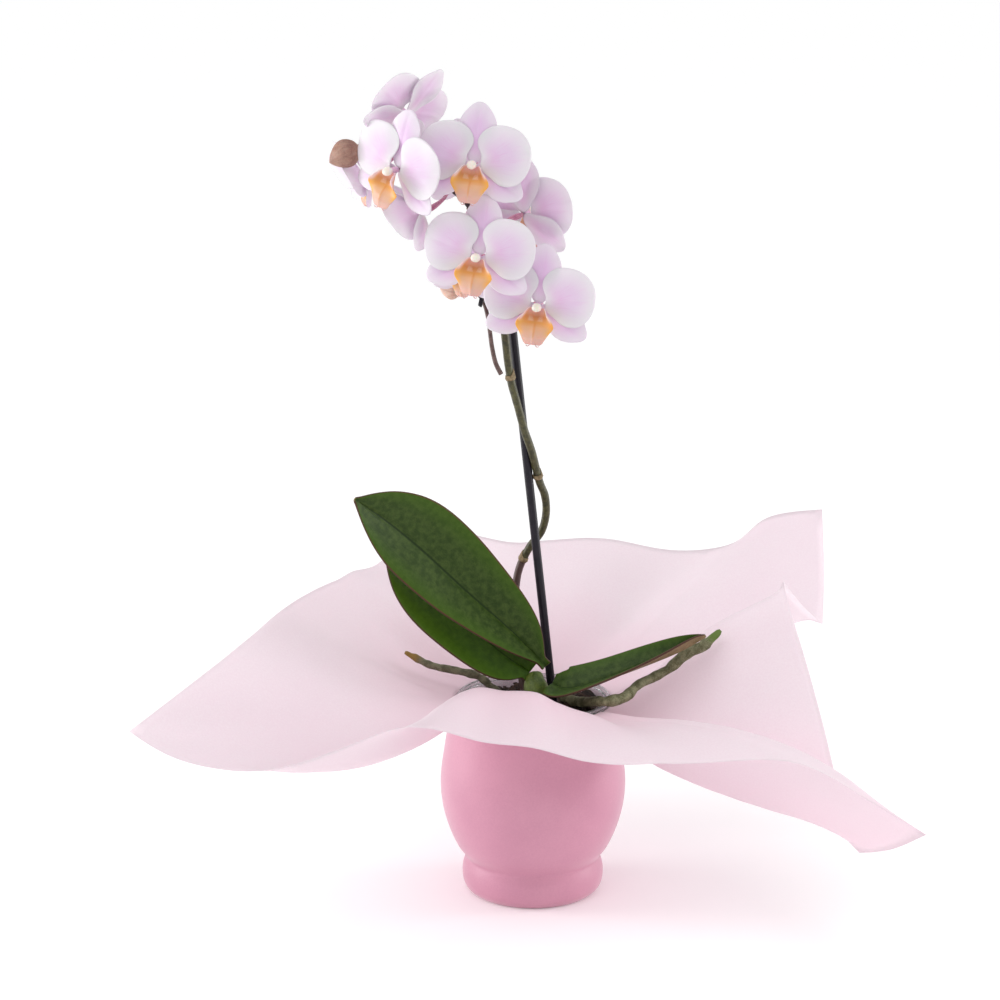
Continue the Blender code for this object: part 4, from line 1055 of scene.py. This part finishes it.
def flower_place(letter):
    """Where a flower's heart is and how it is turned and sized, found from its CAD petals and lip."""
    left, right = middle_of(f"bloom_{letter}_petal_left"), middle_of(f"bloom_{letter}_petal_right")
    size = (right - left).length * 1000 / PETAL_SPAN
    x_axis = (right - left).normalized()
    to_lip = middle_of(f"bloom_{letter}_lip") - (left + right) / 2
    one = (to_lip - x_axis * to_lip.dot(x_axis)).normalized()
    two = x_axis.cross(one)
    up, ahead = Vector(LIP_FROM_PETALS).normalized()
    y_axis = one * up - two * ahead
    z_axis = one * ahead + two * up
    heart = (left + right) / 2 - (y_axis * PETAL_MIDDLE[0] + z_axis * PETAL_MIDDLE[1]) * size / 1000
    axes = Matrix((x_axis, y_axis, z_axis)).transposed().to_4x4()
    return Matrix.Translation(heart) @ axes @ Matrix.Scale(size, 4), size


def put(model, name, place, seed, bend, *nodes):
    """A copy of one flower part, bent and rippled as in its own flower, and put in its place."""
    copy = model.copy()
    copy.data = model.data.copy()
    copy.name = name
    bpy.context.scene.collection.objects.link(copy)
    for vertex in copy.data.vertices:
        away = math.hypot(vertex.co.x, vertex.co.y) * 1000
        still = min(away / 14, 1.0) ** 2
        spot = Vector((vertex.co.x, vertex.co.y, 0.0)) * 62 + Vector((seed * 3.7, seed * 1.9, seed))
        vertex.co.z += (bend * away ** 2 + 0.9 * noise.noise(spot) * still) / 1000
    copy.data.transform(place)
    for node in nodes:
        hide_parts(node)
    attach(copy, "root")
    return copy


for number, letter in enumerate(FLOWER_LETTERS):
    place, size = flower_place(letter)
    bend = FLOWER_BEND[letter]
    node = f"bloom_{letter}_"
    for model, part, seed, share in ((sepals_model, "sepals", 0.3, 0.8), (left_model, "petal_left", 0.6, 1.0),
                                     (petal_model, "petal_right", 0.9, 1.0)):
        blade = put(model, f"{part}_{letter}", place, number + seed, bend * share, node + part)
    put(lip_model, f"lip_{letter}", place, number, 0.0, node + "lip")
    put(column_model, f"column_{letter}", place, number, 0.0)
    behind = -place.col[2].to_3d().normalized()
    start = place @ Vector((0.0, 0.0, -0.0016))
    k = min(range(len(spike_path)), key=lambda i: (spike_path[i] - start - behind * 0.012).length)
    bend_at = start + behind * 0.014 * size
    path = through((start, start.lerp(bend_at, 0.55), bend_at.lerp(spike_path[k], 0.25), spike_path[k]), 6)
    radii = [0.0010 + 0.0007 * math.exp(-((i - 5) / 4) ** 2) for i in range(len(path))]
    stalk = rod(f"stalk_{letter}", path, radii, 4)
    stalk.data.materials.append(stalk_skin)
    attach(stalk, "root")

for model in (petal_model, left_model, sepals_model, lip_model, column_model):
    bpy.data.objects.remove(model)


# ---------------------------------------------------------------- the studio
# A flat pale floor with a faint glow of its own, an even sky, one broad sun, two soft lamps low at the
# sides, and the camera.

bpy.ops.object.select_all(action="DESELECT")
bpy.ops.mesh.primitive_plane_add(size=24.0)
floor = bpy.context.object
floor.name = "floor"
plain, tree, shader = new_finish("floor_pale", 0.9)
shader.inputs["Base Color"].default_value = (0.97, 0.97, 0.97, 1.0)
shader.inputs["Emission Color"].default_value = (1.0, 1.0, 1.0, 1.0)
shader.inputs["Emission Strength"].default_value = 0.10
floor.data.materials.append(plain)

sky = bpy.data.worlds.new("studio")
sky.use_nodes = True
wanted = sky.node_tree.nodes["Background"].inputs
wanted["Color"].default_value = (1.0, 1.0, 1.0, 1.0)
seen = add(sky.node_tree, "ShaderNodeMapRange", **{"To Min": 0.60, "To Max": 1.0})
rays = sky.node_tree.nodes.new("ShaderNodeLightPath")
sky.node_tree.links.new(rays.outputs["Is Camera Ray"], seen.inputs["Value"])
sky.node_tree.links.new(seen.outputs["Result"], wanted["Strength"])
bpy.context.scene.world = sky
bpy.context.scene.view_settings.view_transform = "Standard"

sun = bpy.data.lights.new("soft_sun", "SUN")
sun.energy = 1.20
sun.angle = math.radians(70)
sun_holder = bpy.data.objects.new("soft_sun", sun)
sun_holder.rotation_euler = (math.radians(20), math.radians(-16), 0.0)
bpy.context.scene.collection.objects.link(sun_holder)

for name, place, aim, size, power in (
        ("soft_left", (-1.1, 0.10, 0.32), (0.0, 0.0, 0.06), 0.5, 5.5),
        ("soft_right", (1.1, 0.10, 0.32), (0.0, 0.0, 0.06), 0.5, 4.5)):
    lamp = bpy.data.lights.new(name, "AREA")
    lamp.size = size
    lamp.energy = power
    holder = bpy.data.objects.new(name, lamp)
    holder.location = place
    holder.rotation_euler = (Vector(aim) - Vector(place)).to_track_quat("-Z", "Y").to_euler()
    bpy.context.scene.collection.objects.link(holder)

TILT = math.radians(14)
TARGET = Vector((-0.0195, 0.0, 0.2378))
DISTANCE = 1.8
lens = bpy.data.cameras.new("camera")
lens.sensor_width = 36
lens.lens = 111.9
camera = bpy.data.objects.new("camera", lens)
camera.location = TARGET + Vector((0.0, -DISTANCE * math.cos(TILT), DISTANCE * math.sin(TILT)))
camera.rotation_euler = (math.pi / 2 - TILT, 0.0, 0.0)
bpy.context.scene.collection.objects.link(camera)
bpy.context.scene.camera = camera
